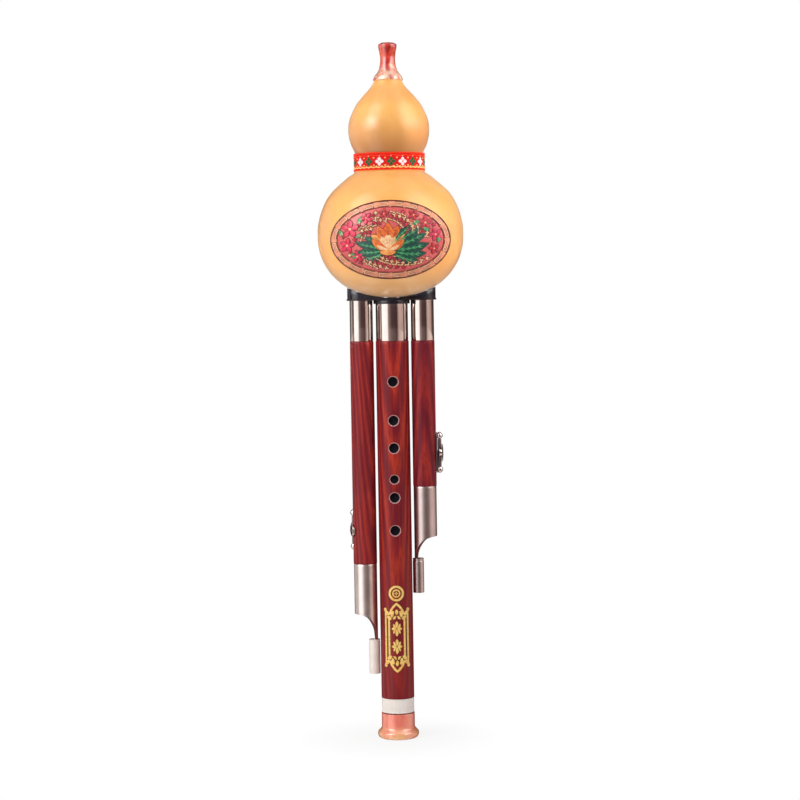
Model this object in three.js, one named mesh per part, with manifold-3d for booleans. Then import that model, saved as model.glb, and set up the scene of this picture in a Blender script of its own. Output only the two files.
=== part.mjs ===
// Gourd flute with three bamboo-style wooden pipes, hanging upright over its bell.
// Millimetres, +Z up, front towards -Y. The origin is the centre of the bell's foot.
import * as THREE from 'three';
import { mergeVertices } from 'three/addons/utils/BufferGeometryUtils.js';
import Module from 'manifold-3d';

const wasm = await Module();
wasm.setup();

// Clearances
const seatGap = 0.1; // between round pieces fixed in one another
const slideGap = 0.1; // between a pipe's ferrule and its socket
const restGap = 0.3; // under a piece that lies on a curved or cut neighbour
const pivotGap = 0.1; // between a key's barrel and its rod
const overrun = 3; // how far a cutting tool runs past what it cuts

// Facets
const gourdSides = 36;
const pipeSides = 24;
const holeSides = 12;
const wireSides = 8;

// Bell and tail ring at the foot of the main pipe
const bellHeight = 17.3;
const bellNeckRadius = 11;
const bellRimRadius = 13.7;
const bellFootRadius = 11.8;
const bellMouthRadius = 9.6;
const bellFlareHeight = 7.8;
const bellMouthDepth = 6;
const bellFlareShares = [[0.7, 0.083], [0.94, 0.24], [1, 0.4], [0.9, 0.53], [0.63, 0.64],
  [0.28, 0.77], [0.06, 0.89], [0, 1]]; // radius between neck and rim, height
const bellSocketDepth = 6;
const tailRingHeight = 9.7;
const tailRingRadius = 10.9;
const tailRingWall = 1.2;

// Main pipe
const mainRadius = 10.9;
const mainBoreRadius = 7;
const mainWoodLength = 237.4;
const mainFerruleRadius = 10.6;
const mainFerruleWall = 0.8;
const mainFerruleReach = 24.5; // seen between the wood and the base
const fingerHoleRadius = 3.25;
const smallHoleRadius = 2.8;
const ventHoleRadius = 2.2;
const fingerHoleShares = [0.1124, 0.2203, 0.297, 0.3841, 0.4352, 0.527]; // down the wood from its top
const smallHoleIndex = 3;
const thumbHoleShare = 0.056;
const ventHoleShares = [0.67, 0.733];

// Drone pipes
const dronePitch = 20.2; // from the main pipe's axis to each drone's axis
const droneRadius = 7.8;
const droneBoreRadius = 5;
const droneFerruleRadius = 7.6;
const droneFerruleWall = 0.7;
const rightWoodLength = 96.5;
const leftWoodRise = 89.8; // lower end of the left drone's wood above the main pipe's
const tenonLength = 14; // wood that stands inside a ferrule or a tail sleeve

// Tail of each drone
const sleeveRadius = 7.6;
const sleeveWall = 0.7;
const sleeveLength = 33.4; // from the wood to the outer corner of the cutaway
const cutawayRadius = 15;
const tongueDepth = 1; // radial depth of the tongue that the cutaway leaves
const tongueOverlap = 6; // tongue that stands inside the tail tube
const tailTubeRadius = 3.7;
const tailTubeWall = 0.5;
const tailTubeLength = 22.9;
const tailTubeClearance = 0.3; // to the bell's neck, as the drone is pulled down
const leftTailSlip = 2.6; // the left tail tube is pulled a little further off its tongue
const tailTurn = THREE.MathUtils.degToRad(12); // the cutaway faces outward and this much to the front

// Base between gourd and pipes
const collarThickness = 3.5; // below the lowest point of the gourd
const collarDrop = 2.3; // collar below the underside of the saddle
const collarWall = 1.3;
const saddleWall = 1.3;
const saddleHeight = 8.6;
const saddleLip = 0.5;
const saddleLipHeight = 1;
const insertion = 8; // ferrule inside its socket
const sealDepth = 0.7;
const sealHeight = 1.4;
const mainSealRise = 1;
const droneSealRise = 0.9;
const gourdHoleGap = 0.4;

// Gourd
const gourdWall = 3.5;
const bellyRadius = 48;
const bowlHeight = 41.1; // bottom to widest belly
const bowlFullness = 0.95; // power of an ellipse's sine and cosine, and under 1 it is fuller
const shoulderHeight = 48.25; // widest belly to waist
const waistRadius = 21.8;
const headRadius = 26.6;
const headLowerHeight = 22.55; // waist to widest head
const headUpperHeight = 31.1; // widest head to the top of the neck
const neckRadius = 9;
const bowlSteps = 9;
const outlineSteps = 30;
const wallStride = 2; // outline points for each point of the inner wall
const shoulderShares = [[0.985, 0.159], [0.876, 0.372], [0.66, 0.585], [0.23, 0.797], [0.085, 0.85],
  [0.035, 0.885], [0.006, 0.935]]; // radius between waist and belly, height above the belly
const headLowerShares = [[0.13, 0.27], [0.636, 0.514], [0.93, 0.759]]; // radius between waist and head
const headUpperShares = [[0.958, 0.168], [0.836, 0.339], [0.68, 0.506], [0.442, 0.674], [0.168, 0.842],
  [0.062, 0.926]]; // radius between neck and head

// Ribbon round the waist
const ribbonHeight = 11.3;
const ribbonThickness = 0.6;

// Mouthpiece
const mouthpieceHeight = 24.5;
const flangeRadius = 9.8;
const throatRadius = 4.9;
const lipRadius = 6;
const tipRadius = 4;
const airHoleRadius = 2;
const mouthTenonRadius = 5.4;
const mouthTenonLength = 8;
const flangeShares = [[1, 0], [1, 0.028], [0.93, 0.07], [0.8, 0.12], [0.38, 0.23], [0.15, 0.34],
  [0.04, 0.45], [0, 0.6]]; // radius between throat and flange, height
const lipShares = [[0.4, 0.735], [0.92, 0.86], [1, 0.9], [0.9, 0.955]]; // radius between throat and lip

// Reeds inside the gourd
const mainShankRadius = 5.2;
const mainShankLength = 44;
const droneShankRadius = 4.4;
const droneShankLength = 40;
const shankWall = 1.4;
const shankFlatDepth = 0.8;
const reedLength = 24;
const reedWidth = 4.4;
const reedThickness = 0.5;
const reedRise = 10; // from the ferrule's end to the reed plate
const tongueLength = 18;
const tongueRootWidth = 2.2;
const tongueTipWidth = 0.8;
const reedSlit = 0.35;
const windowMargin = 1;

// Keys
const keyRise = 22; // from the lower end of the wood to the key's middle
const rightKeyAzimuth = 0; // straight outward
const leftKeyAzimuth = THREE.MathUtils.degToRad(138); // outward and turned to the rear
const keyPlateLength = 27.2;
const keyPlateThickness = 0.6;
const keyPlateHalfAngle = THREE.MathUtils.degToRad(17);
const rodOffset = 10.1; // pivot rod from the drone's axis
const rodRadius = 0.7;
const postSpan = 22.4;
const ballRadius = 2.15;
const postFootRadius = 1.7;
const barrelRadius = 1.2;
const padAngle = THREE.MathUtils.degToRad(55);
const padRadius = 3.1;
const padThickness = 1.2;
const padSeatDepth = 0.7; // flat sunk into the wood round the tone hole
const toneHoleRadius = 2.2;
const cupWall = 0.5;
const cupRimDepth = 0.7;
const armWidth = 3;
const armThickness = 1.1;
const touchHeight = 12;
const touchWidth = 8.5;
const touchThickness = 1.1;
const touchRise = 1.3; // from the rod's axis to the underside of the touch plate
const touchOverhang = 1.8; // touch plate on the pad's side of the rod's axis
const touchRimShare = 0.45; // thickness left at the rim of the domed touch plate
const touchDomeShare = 0.7; // radius at which the dome turns down to the rim
const touchWebHeight = 6;
const touchWebWidth = 3.6;
const needleRadius = 0.25;
const needleInset = 1.15; // from the rod's axis towards the wood
const needleAside = 1.6; // to the side of the touch plate
const needleReach = 1; // past the key's middle

// Heights worked out from the foot upwards
const mainWoodBottom = bellHeight + tailRingHeight;
const mainWoodTop = mainWoodBottom + mainWoodLength;
const leftWoodLength = mainWoodLength - leftWoodRise;
const collarBottom = mainWoodTop + mainFerruleReach;
const saddleBottom = collarBottom + collarDrop;
const gourdBottom = collarBottom + collarThickness;
const bellyLevel = gourdBottom + bowlHeight;
const waistLevel = bellyLevel + shoulderHeight;
const headLevel = waistLevel + headLowerHeight;
const gourdTop = headLevel + headUpperHeight;

// Radii worked out from the pieces they fit
const mainFerruleBore = mainFerruleRadius - mainFerruleWall;
const droneFerruleBore = droneFerruleRadius - droneFerruleWall;
const sleeveBore = sleeveRadius - sleeveWall;
const mainTenonRadius = mainFerruleBore - seatGap;
const droneTenonRadius = droneFerruleBore - seatGap;
const sleeveTenonRadius = sleeveBore - seatGap;
const footTenonRadius = tailRingRadius - tailRingWall - seatGap;
const mainSocketRadius = mainFerruleRadius + slideGap;
const droneSocketRadius = droneFerruleRadius + slideGap;
const keyPlateRadius = droneRadius + restGap;
const keyPlateTop = keyPlateRadius + keyPlateThickness;
const quarterTurn = Math.PI / 2;

// Materials
function surface(color, roughness, metalness) {
  return new THREE.MeshStandardMaterial({ color, roughness, metalness });
}
const gourdSkin = surface(0xe8b678, 0.38, 0);
const rosewood = surface(0x7a2421, 0.35, 0);
const marbledResin = surface(0xd4553f, 0.25, 0);
const blackPlastic = surface(0x17151a, 0.35, 0);
const nickel = surface(0xc9c4c0, 0.15, 1);
const silver = surface(0xd6d2cf, 0.35, 1);
const brass = surface(0xc9a04e, 0.3, 1);
const boneResin = surface(0xe6dcc4, 0.4, 0);
const rubber = surface(0x1c1c1c, 0.8, 0);
const padLeather = surface(0xe9dcc0, 0.8, 0);
const springSteel = surface(0x5b6270, 0.3, 1);
const ribbonWeave = surface(0xc3262b, 0.85, 0);

// A closed body turned about Z from [radius, height] points
function lathe(points, sides = pipeSides) {
  const outline = points.map(([radius, height]) => new THREE.Vector2(radius, height));
  if (THREE.ShapeUtils.area(outline) < 0) outline.reverse();
  const onAxis = outline.some((point) => point.x === 0);
  if (!onAxis) outline.push(outline[0].clone());
  while (onAxis && !(outline[0].x === 0 && outline.at(-1).x === 0)) outline.push(outline.shift());
  return new THREE.LatheGeometry(outline, sides).rotateX(quarterTurn);
}

function cylinder(radius, bottom, top, sides = pipeSides) {
  return lathe([[0, bottom], [radius, bottom], [radius, top], [0, top]], sides);
}

function tube(bore, radius, bottom, top, sides = pipeSides) {
  return lathe([[bore, bottom], [radius, bottom], [radius, top], [bore, top]], sides);
}

// A cylinder lying along a radius that leaves the Z axis at an angle from +X
function radialCylinder(radius, from, to, height, angle, sides = holeSides) {
  return cylinder(radius, from, to, sides).rotateY(quarterTurn).translate(0, 0, height).rotateZ(angle);
}

function box(low, high) {
  const size = high.map((value, axis) => value - low[axis]);
  const middle = high.map((value, axis) => (value + low[axis]) / 2);
  return new THREE.BoxGeometry(...size).translate(...middle);
}

function extrude(shape, bottom, top, curveSegments = holeSides) {
  const options = { depth: top - bottom, bevelEnabled: false, curveSegments };
  return new THREE.ExtrudeGeometry(shape, options).translate(0, 0, bottom);
}

// Part of a ring about Z, from one angle to another
function sector(inner, outer, startAngle, endAngle, bottom, top) {
  const shape = new THREE.Shape();
  shape.absarc(0, 0, outer, startAngle, endAngle, false);
  shape.absarc(0, 0, inner, endAngle, startAngle, true);
  return extrude(shape, bottom, top);
}

// Solids for joining and cutting
function solid(geometry) {
  const bare = geometry.clone();
  bare.deleteAttribute('normal');
  bare.deleteAttribute('uv');
  const merged = mergeVertices(bare);
  const corners = [];
  for (let i = 0; i < merged.index.count; i += 3) {
    const [a, b, c] = [0, 1, 2].map((k) => merged.index.getX(i + k));
    if (a !== b && b !== c && c !== a) corners.push(a, b, c);
  }
  const mesh = new wasm.Mesh({
    numProp: 3,
    vertProperties: new Float32Array(merged.attributes.position.array),
    triVerts: new Uint32Array(corners),
  });
  return new wasm.Manifold(mesh);
}

function union(...geometries) {
  return geometries.map(solid).reduce((whole, next) => whole.add(next));
}

function cut(body, ...tools) {
  return tools.reduce((whole, tool) => whole.subtract(solid(tool)), body);
}

function geometryOf(body) {
  const mesh = body.getMesh();
  const geometry = new THREE.BufferGeometry();
  geometry.setAttribute('position', new THREE.BufferAttribute(new Float32Array(mesh.vertProperties), 3));
  geometry.setIndex(new THREE.BufferAttribute(new Uint32Array(mesh.triVerts), 1));
  geometry.computeVertexNormals();
  return geometry;
}

function piece(name, geometry, material) {
  const mesh = new THREE.Mesh(geometry, material);
  mesh.name = name;
  return mesh;
}

// Radius that lies a share of the way between two radii
function between(low, high, share) {
  return low + (high - low) * share;
}

// Outer outline of the gourd from its bottom to the top of its neck
function gourdOutline() {
  const bowl = [];
  for (let i = 0; i < bowlSteps; i += 1) {
    const angle = (i / bowlSteps) * quarterTurn;
    bowl.push(new THREE.Vector2(bellyRadius * Math.sin(angle) ** bowlFullness,
      bellyLevel - bowlHeight * Math.cos(angle) ** bowlFullness));
  }
  const upper = new THREE.SplineCurve([
    new THREE.Vector2(bellyRadius, bellyLevel),
    ...shoulderShares.map(([radius, height]) => new THREE.Vector2(
      between(waistRadius, bellyRadius, radius), bellyLevel + shoulderHeight * height)),
    new THREE.Vector2(waistRadius, waistLevel),
    ...headLowerShares.map(([radius, height]) => new THREE.Vector2(
      between(waistRadius, headRadius, radius), waistLevel + headLowerHeight * height)),
    new THREE.Vector2(headRadius, headLevel),
    ...headUpperShares.map(([radius, height]) => new THREE.Vector2(
      between(neckRadius, headRadius, radius), headLevel + headUpperHeight * height)),
    new THREE.Vector2(neckRadius, gourdTop),
  ]);
  return [...bowl, ...upper.getSpacedPoints(outlineSteps)];
}

// The same outline moved out by a distance, or in where it is negative
function offsetOutline(outline, distance) {
  return outline.map((point, i) => {
    const before = outline[Math.max(i - 1, 0)];
    const after = outline[Math.min(i + 1, outline.length - 1)];
    const along = after.clone().sub(before).normalize();
    if (i === 0) along.set(1, 0);
    return [point.x + along.y * distance, point.y - along.x * distance];
  });
}

function gourdRadiusAt(height) {
  const outline = gourdOutline();
  const i = outline.findIndex((point, k) => k > 0 && point.y >= height);
  const [low, high] = [outline[i - 1], outline[i]];
  return between(low.x, high.x, (height - low.y) / (high.y - low.y));
}

function gourdShell() {
  const outline = gourdOutline();
  const outside = offsetOutline(outline, 0);
  const holeRadius = mouthTenonRadius + seatGap;
  const inside = offsetOutline(outline, -gourdWall)
    .filter(([, height], i) => i % wallStride === 0 && height < gourdTop)
    .map(([radius, height], i) => [i === 0 ? 0 : Math.max(radius, holeRadius), height]);
  const rim = [[holeRadius, gourdTop]];
  const shell = solid(lathe([...outside, ...rim, ...inside.reverse()], gourdSides));
  const holes = [
    cylinder(mainFerruleRadius + gourdHoleGap, gourdBottom - overrun, bellyLevel),
    ...[-dronePitch, dronePitch].map((x) => cylinder(
      droneFerruleRadius + gourdHoleGap, gourdBottom - overrun, bellyLevel).translate(x, 0, 0)),
  ];
  return piece('gourd_shell', geometryOf(cut(shell, ...holes)), gourdSkin);
}

function waistRibbon() {
  const bottom = waistLevel - ribbonHeight / 2;
  const top = waistLevel + ribbonHeight / 2;
  const inner = Math.max(gourdRadiusAt(bottom), gourdRadiusAt(top)) + restGap;
  return piece('waist_ribbon', tube(inner, inner + ribbonThickness, bottom, top, gourdSides), ribbonWeave);
}

function mouthpiece() {
  const seat = gourdTop + seatGap;
  const flange = flangeShares.map(([radius, height]) => [
    between(throatRadius, flangeRadius, radius), seat + mouthpieceHeight * height]);
  const lip = lipShares.map(([radius, height]) => [
    between(throatRadius, lipRadius, radius), seat + mouthpieceHeight * height]);
  const top = seat + mouthpieceHeight;
  const profile = [
    [airHoleRadius, gourdTop - mouthTenonLength],
    [mouthTenonRadius, gourdTop - mouthTenonLength],
    [mouthTenonRadius, seat],
    ...flange,
    ...lip,
    [tipRadius, top],
    [airHoleRadius, top],
  ];
  return piece('mouthpiece', lathe(profile), marbledResin);
}

// Outline round three circles in a row, the middle one larger
function saddleShape(middleRadius, endRadius) {
  const lean = Math.asin((middleRadius - endRadius) / dronePitch);
  const end = quarterTurn - lean;
  const shape = new THREE.Shape();
  shape.absarc(dronePitch, 0, endRadius, -end, end, false);
  shape.absarc(0, 0, middleRadius, end, Math.PI - end, false);
  shape.absarc(-dronePitch, 0, endRadius, Math.PI - end, Math.PI + end, false);
  shape.absarc(0, 0, middleRadius, Math.PI + end, 2 * Math.PI - end, false);
  return shape;
}

// Black base that is glued under the gourd and takes the three ferrules
function pipeBase() {
  const collarRadius = mainSocketRadius + collarWall;
  const endRadius = droneSocketRadius + saddleWall;
  const bowl = offsetOutline(gourdOutline().filter((point) => point.y <= bellyLevel), restGap);
  bowl[0][0] = 0;
  const gourdBelly = lathe([...bowl, [0, bellyLevel]], gourdSides);
  const body = union(
    extrude(saddleShape(collarRadius, endRadius), saddleBottom, saddleBottom + saddleHeight),
    extrude(saddleShape(collarRadius + saddleLip, endRadius + saddleLip), saddleBottom,
      saddleBottom + saddleLipHeight),
    cylinder(collarRadius, collarBottom, saddleBottom + saddleLipHeight),
  );
  const top = bellyLevel;
  const cuts = [
    gourdBelly,
    cylinder(mainSocketRadius, collarBottom - overrun, top),
    cylinder(mainSocketRadius + sealDepth, mainSealBottom(), mainSealBottom() + sealHeight),
  ];
  for (const x of [-dronePitch, dronePitch]) {
    cuts.push(cylinder(droneSocketRadius, collarBottom - overrun, top).translate(x, 0, 0));
    cuts.push(cylinder(droneSocketRadius + sealDepth, droneSealBottom(), droneSealBottom() + sealHeight)
      .translate(x, 0, 0));
  }
  return piece('pipe_base', geometryOf(cut(body, ...cuts)), blackPlastic);
}

function mainSealBottom() {
  return collarBottom + mainSealRise;
}

function droneSealBottom() {
  return saddleBottom + droneSealRise;
}

// Rubber ring in the groove of a socket
function socketSeal(name, ferruleRadius, bottom, x) {
  const inner = ferruleRadius + slideGap / 2;
  const outer = ferruleRadius + slideGap + sealDepth - seatGap;
  const seal = tube(inner, outer, bottom + seatGap, bottom + sealHeight - seatGap);
  return piece(name, seal.translate(x, 0, 0), rubber);
}

// Wooden tube of the main pipe with a tenon at each end and its finger holes
function mainPipeTube() {
  const low = mainWoodBottom - tailRingHeight - bellSocketDepth + seatGap;
  const high = mainWoodTop + tenonLength;
  const wood = lathe([
    [mainBoreRadius, low],
    [footTenonRadius, low],
    [footTenonRadius, mainWoodBottom],
    [mainRadius, mainWoodBottom],
    [mainRadius, mainWoodTop],
    [mainTenonRadius, mainWoodTop],
    [mainTenonRadius, high],
    [mainBoreRadius, high],
  ]);
  const hole = (radius, share, angle) => radialCylinder(
    radius, 0, mainRadius + overrun, mainWoodTop - mainWoodLength * share, angle);
  const holes = fingerHoleShares.map((share, i) => hole(
    i === smallHoleIndex ? smallHoleRadius : fingerHoleRadius, share, -quarterTurn));
  holes.push(hole(fingerHoleRadius, thumbHoleShare, quarterTurn));
  for (const share of ventHoleShares) holes.push(hole(ventHoleRadius, share, quarterTurn));
  return piece('main_pipe_tube', geometryOf(cut(solid(wood), ...holes)), rosewood);
}

function ferrule(name, bore, radius, top) {
  return piece(name, tube(bore, radius, mainWoodTop + seatGap, top), nickel);
}

// Tube that stands in the ferrule, closed at its top, with a window under the reed
function reedTube(name, plugRadius, boreRadius, shankRadius, shankLength, ferruleTop) {
  const plugBottom = mainWoodTop + tenonLength + seatGap;
  const top = ferruleTop + shankLength;
  const bore = shankRadius - shankWall;
  const body = lathe([
    [boreRadius, plugBottom],
    [plugRadius, plugBottom],
    [plugRadius, ferruleTop - seatGap],
    [shankRadius, ferruleTop - seatGap],
    [shankRadius, top],
    [0, top],
    [0, top - shankWall],
    [bore, top - shankWall],
    [bore, plugBottom + (boreRadius - bore)],
  ]);
  const reedBottom = ferruleTop + reedRise;
  const flat = shankRadius - shankFlatDepth;
  const seat = box([-shankRadius - overrun, -shankRadius - overrun, reedBottom - seatGap],
    [shankRadius + overrun, -flat, reedBottom + reedLength + seatGap]);
  const slitTop = reedBottom + windowMargin + tongueLength;
  const window = box([-tongueRootWidth / 2, -shankRadius - overrun, reedBottom + windowMargin],
    [tongueRootWidth / 2, 0, slitTop]);
  return piece(name, geometryOf(cut(solid(body), seat, window)), boneResin);
}

// Brass plate with a V-cut tongue that swings in it, all one piece of metal
function reedPlate(name, shankRadius, ferruleTop) {
  const plate = new THREE.Shape();
  const half = reedWidth / 2;
  plate.moveTo(-half, 0);
  plate.lineTo(half, 0);
  plate.lineTo(half, reedLength);
  plate.lineTo(-half, reedLength);
  plate.closePath();
  const root = tongueRootWidth / 2;
  const tip = tongueTipWidth / 2;
  const low = windowMargin + reedSlit;
  const high = windowMargin + tongueLength;
  const slit = new THREE.Path();
  slit.moveTo(-root, high);
  slit.lineTo(-tip - reedSlit, windowMargin);
  slit.lineTo(tip + reedSlit, windowMargin);
  slit.lineTo(root, high);
  slit.lineTo(root - reedSlit, high);
  slit.lineTo(tip, low);
  slit.lineTo(-tip, low);
  slit.lineTo(-root + reedSlit, high);
  slit.closePath();
  plate.holes.push(slit);
  const face = -(shankRadius - shankFlatDepth) - seatGap;
  const geometry = extrude(plate, 0, reedThickness).rotateX(quarterTurn)
    .translate(0, face, ferruleTop + reedRise);
  return piece(name, geometry, brass);
}

function tailRing() {
  const ring = tube(tailRingRadius - tailRingWall, tailRingRadius, bellHeight + seatGap, mainWoodBottom - seatGap);
  return piece('main_tail_ring', ring, silver);
}

function bell() {
  const profile = [
    [bellMouthRadius, 0],
    [bellFootRadius, 0],
    ...bellFlareShares.map(([radius, height]) => [
      between(bellNeckRadius, bellRimRadius, radius), bellFlareHeight * height]),
    [bellNeckRadius, bellHeight],
    [footTenonRadius + seatGap, bellHeight],
    [footTenonRadius + seatGap, bellHeight - bellSocketDepth],
    [mainBoreRadius, bellHeight - bellSocketDepth],
    [mainBoreRadius, bellMouthDepth],
  ];
  return piece('main_bell', lathe(profile), marbledResin);
}

// Wooden tube of a drone with its tenons, its tone hole and the flat that the pad closes on
function droneTube(name, woodLength, padDirection) {
  const woodBottom = mainWoodTop - woodLength;
  const low = woodBottom - tenonLength;
  const high = mainWoodTop + tenonLength;
  const wood = lathe([
    [droneBoreRadius, low],
    [sleeveTenonRadius, low],
    [sleeveTenonRadius, woodBottom],
    [droneRadius, woodBottom],
    [droneRadius, mainWoodTop],
    [droneTenonRadius, mainWoodTop],
    [droneTenonRadius, high],
    [droneBoreRadius, high],
  ]);
  const keyLevel = woodBottom + keyRise;
  const toneHole = radialCylinder(toneHoleRadius, 0, droneRadius + overrun, keyLevel, padDirection);
  const seatRadius = padRadius + cupWall + seatGap + restGap;
  const seat = radialCylinder(
    seatRadius, droneRadius - padSeatDepth, droneRadius + overrun, keyLevel, padDirection, pipeSides);
  return piece(name, geometryOf(cut(solid(wood), toneHole, seat)), rosewood);
}

// Tail tube's centre in the frame of its drone, where +X faces the cutaway
function tailTubeCentre() {
  const mainClearance = bellNeckRadius + tailTubeClearance + tailTubeRadius;
  return -(dronePitch - mainClearance) / Math.cos(tailTurn);
}

function tailTubeTop(woodLength) {
  return mainWoodTop - woodLength - sleeveLength - cutawayRadius;
}

// Metal sleeve on the lower end of a drone, cut away to a tongue
function tailSleeve(name, woodLength, slip, facing) {
  const top = mainWoodTop - woodLength - seatGap;
  const cutCentre = tailTubeTop(woodLength);
  const bottom = cutCentre - slip - tongueOverlap;
  const innerFace = -sleeveRadius + tongueDepth;
  const reach = sleeveRadius + overrun;
  const centreX = innerFace + cutawayRadius;
  const sleeve = tube(sleeveBore, sleeveRadius, bottom, top);
  const round = cylinder(cutawayRadius, -reach, reach, 2 * pipeSides).rotateX(quarterTurn)
    .translate(centreX, 0, cutCentre);
  const below = box([innerFace, -reach, bottom - overrun], [reach, reach, cutCentre]);
  const tabLevel = cutCentre - slip + seatGap;
  const tongue = cylinder(tailTubeRadius - tailTubeWall - restGap, bottom - overrun, tabLevel + overrun)
    .translate(tailTubeCentre(), 0, 0);
  const trim = geometryOf(cut(
    solid(box([-reach, -reach, bottom - overrun], [reach, reach, tabLevel])), tongue));
  return piece(name, geometryOf(cut(solid(sleeve), round, below, trim)).rotateZ(facing), nickel);
}

function tailTube(name, woodLength, slip, facing) {
  const top = tailTubeTop(woodLength) - slip;
  const bore = tailTubeRadius - tailTubeWall;
  const geometry = tube(bore, tailTubeRadius, top - tailTubeLength, top).translate(tailTubeCentre(), 0, 0);
  return piece(name, geometry.rotateZ(facing), nickel);
}

// Key pieces are made about their drone's axis, +X outward at the key and the key's middle at height zero.
// The pad is on the +Y side and the touch plate on the -Y side.
function keyPlate(name) {
  const plate = sector(keyPlateRadius, keyPlateTop, -keyPlateHalfAngle, keyPlateHalfAngle,
    -keyPlateLength / 2, keyPlateLength / 2);
  return piece(name, plate, nickel);
}

function rodBore(radius) {
  const half = postSpan / 2 + ballRadius + overrun;
  return cylinder(radius, -half, half, holeSides).translate(rodOffset, 0, 0);
}

function needle(radius, start) {
  const wire = cylinder(radius, start, needleReach, wireSides);
  return wire.translate(rodOffset - needleInset, -needleAside, 0);
}

function keyPost(name, level) {
  const ball = new THREE.SphereGeometry(ballRadius, holeSides, holeSides / 2).rotateX(quarterTurn)
    .translate(rodOffset, 0, level);
  const foot = cylinder(postFootRadius, keyPlateRadius, rodOffset, holeSides).rotateY(quarterTurn)
    .translate(0, 0, level);
  const plateTop = cylinder(keyPlateTop + seatGap, level - ballRadius - overrun, level + ballRadius + overrun,
    2 * pipeSides);
  const tools = [plateTop, rodBore(rodRadius + seatGap / 2)];
  if (level < 0) tools.push(needle(needleRadius + seatGap / 2, level));
  return piece(name, geometryOf(cut(union(ball, foot), ...tools)), nickel);
}

function keyRod(name) {
  const half = postSpan / 2 + ballRadius;
  return piece(name, cylinder(rodRadius, -half, half, holeSides).translate(rodOffset, 0, 0), springSteel);
}

function keySpring(name) {
  return piece(name, needle(needleRadius, -postSpan / 2 + seatGap), springSteel);
}

// Distance of the pad's and the cup's faces from the drone's axis
const padFace = droneRadius - padSeatDepth + restGap;
const padBack = padFace + padThickness;
const cupFloor = padBack + seatGap;
const cupTop = cupFloor + cupWall;

function keyPad(name) {
  const pad = radialCylinder(padRadius, padFace, padBack, 0, padAngle, pipeSides);
  return piece(name, pad, padLeather);
}

// Lever in one piece: barrel, arm, pad cup and domed touch plate
function keyLever(name) {
  const half = postSpan / 2 - ballRadius - pivotGap;
  const barrel = cylinder(barrelRadius, -half, half, holeSides).translate(rodOffset, 0, 0);
  const cupRadius = padRadius + seatGap + cupWall;
  const cup = radialCylinder(cupRadius, cupFloor - cupRimDepth, cupTop, 0, padAngle, pipeSides);
  const hollow = radialCylinder(
    padRadius + seatGap, cupFloor - cupRimDepth - overrun, cupFloor, 0, padAngle, pipeSides);
  const armInner = cupTop - cupWall / 2;
  const arm = sector(armInner, armInner + armThickness, 0, padAngle, -armWidth / 2, armWidth / 2);
  const web = box(
    [rodOffset, -touchWebWidth, -touchWebHeight / 2],
    [rodOffset + touchRise + touchThickness * touchRimShare, 0, touchWebHeight / 2]);
  const domeOutline = [[0, 0], [1, 0], [1, touchRimShare], [touchDomeShare, 1 - touchRimShare / 2], [0, 1]];
  const dome = lathe(domeOutline, holeSides)
    .scale(touchHeight / 2, touchWidth / 2, touchThickness).rotateY(quarterTurn)
    .translate(rodOffset + touchRise, touchOverhang - touchWidth / 2, 0);
  const body = cut(union(barrel, cup, arm, web, dome), hollow, rodBore(rodRadius + pivotGap));
  return piece(name, geometryOf(body), nickel);
}

function key(side, azimuth, level) {
  const group = new THREE.Group();
  group.rotation.z = azimuth;
  group.position.z = level;
  group.add(
    keyPlate(`${side}_key_plate`),
    keyPost(`${side}_key_upper_post`, postSpan / 2),
    keyPost(`${side}_key_lower_post`, -postSpan / 2),
    keyRod(`${side}_key_rod`),
    keySpring(`${side}_key_spring`),
    keyLever(`${side}_key_lever`),
    keyPad(`${side}_key_pad`),
  );
  return group;
}

// One drone pipe with its reed, its key and its tail, about its own axis
function drone(side, x, woodLength, slip, facing, keyAzimuth) {
  const ferruleTop = saddleBottom + insertion;
  const group = new THREE.Group();
  group.position.x = x;
  group.add(
    droneTube(`${side}_drone_tube`, woodLength, keyAzimuth + padAngle),
    ferrule(`${side}_drone_ferrule`, droneFerruleBore, droneFerruleRadius, ferruleTop),
    reedTube(`${side}_drone_reed_tube`, droneTenonRadius, droneBoreRadius, droneShankRadius,
      droneShankLength, ferruleTop),
    reedPlate(`${side}_drone_reed_plate`, droneShankRadius, ferruleTop),
    tailSleeve(`${side}_drone_tail_sleeve`, woodLength, slip, facing),
    tailTube(`${side}_drone_tail_tube`, woodLength, slip, facing),
    key(side, keyAzimuth, mainWoodTop - woodLength + keyRise),
  );
  return group;
}

function mainPipe() {
  const ferruleTop = collarBottom + insertion;
  const group = new THREE.Group();
  group.add(
    mainPipeTube(),
    ferrule('main_ferrule', mainFerruleBore, mainFerruleRadius, ferruleTop),
    reedTube('main_reed_tube', mainTenonRadius, mainBoreRadius, mainShankRadius, mainShankLength, ferruleTop),
    reedPlate('main_reed_plate', mainShankRadius, ferruleTop),
    tailRing(),
    bell(),
  );
  return group;
}

const flute = new THREE.Group();
flute.add(
  gourdShell(),
  mouthpiece(),
  waistRibbon(),
  pipeBase(),
  socketSeal('main_socket_seal', mainFerruleRadius, mainSealBottom(), 0),
  socketSeal('left_socket_seal', droneFerruleRadius, droneSealBottom(), -dronePitch),
  socketSeal('right_socket_seal', droneFerruleRadius, droneSealBottom(), dronePitch),
  mainPipe(),
  drone('left', -dronePitch, leftWoodLength, leftTailSlip, Math.PI + tailTurn, leftKeyAzimuth),
  drone('right', dronePitch, rightWoodLength, 0, -tailTurn, rightKeyAzimuth),
);

export default flute;
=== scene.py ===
"""Looks of the gourd flute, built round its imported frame. Metres, +Z up, the front faces -Y."""
import math
import bmesh
import bpy
import numpy as np
from mathutils import Matrix, Vector
from mathutils.geometry import delaunay_2d_cdt


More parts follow.
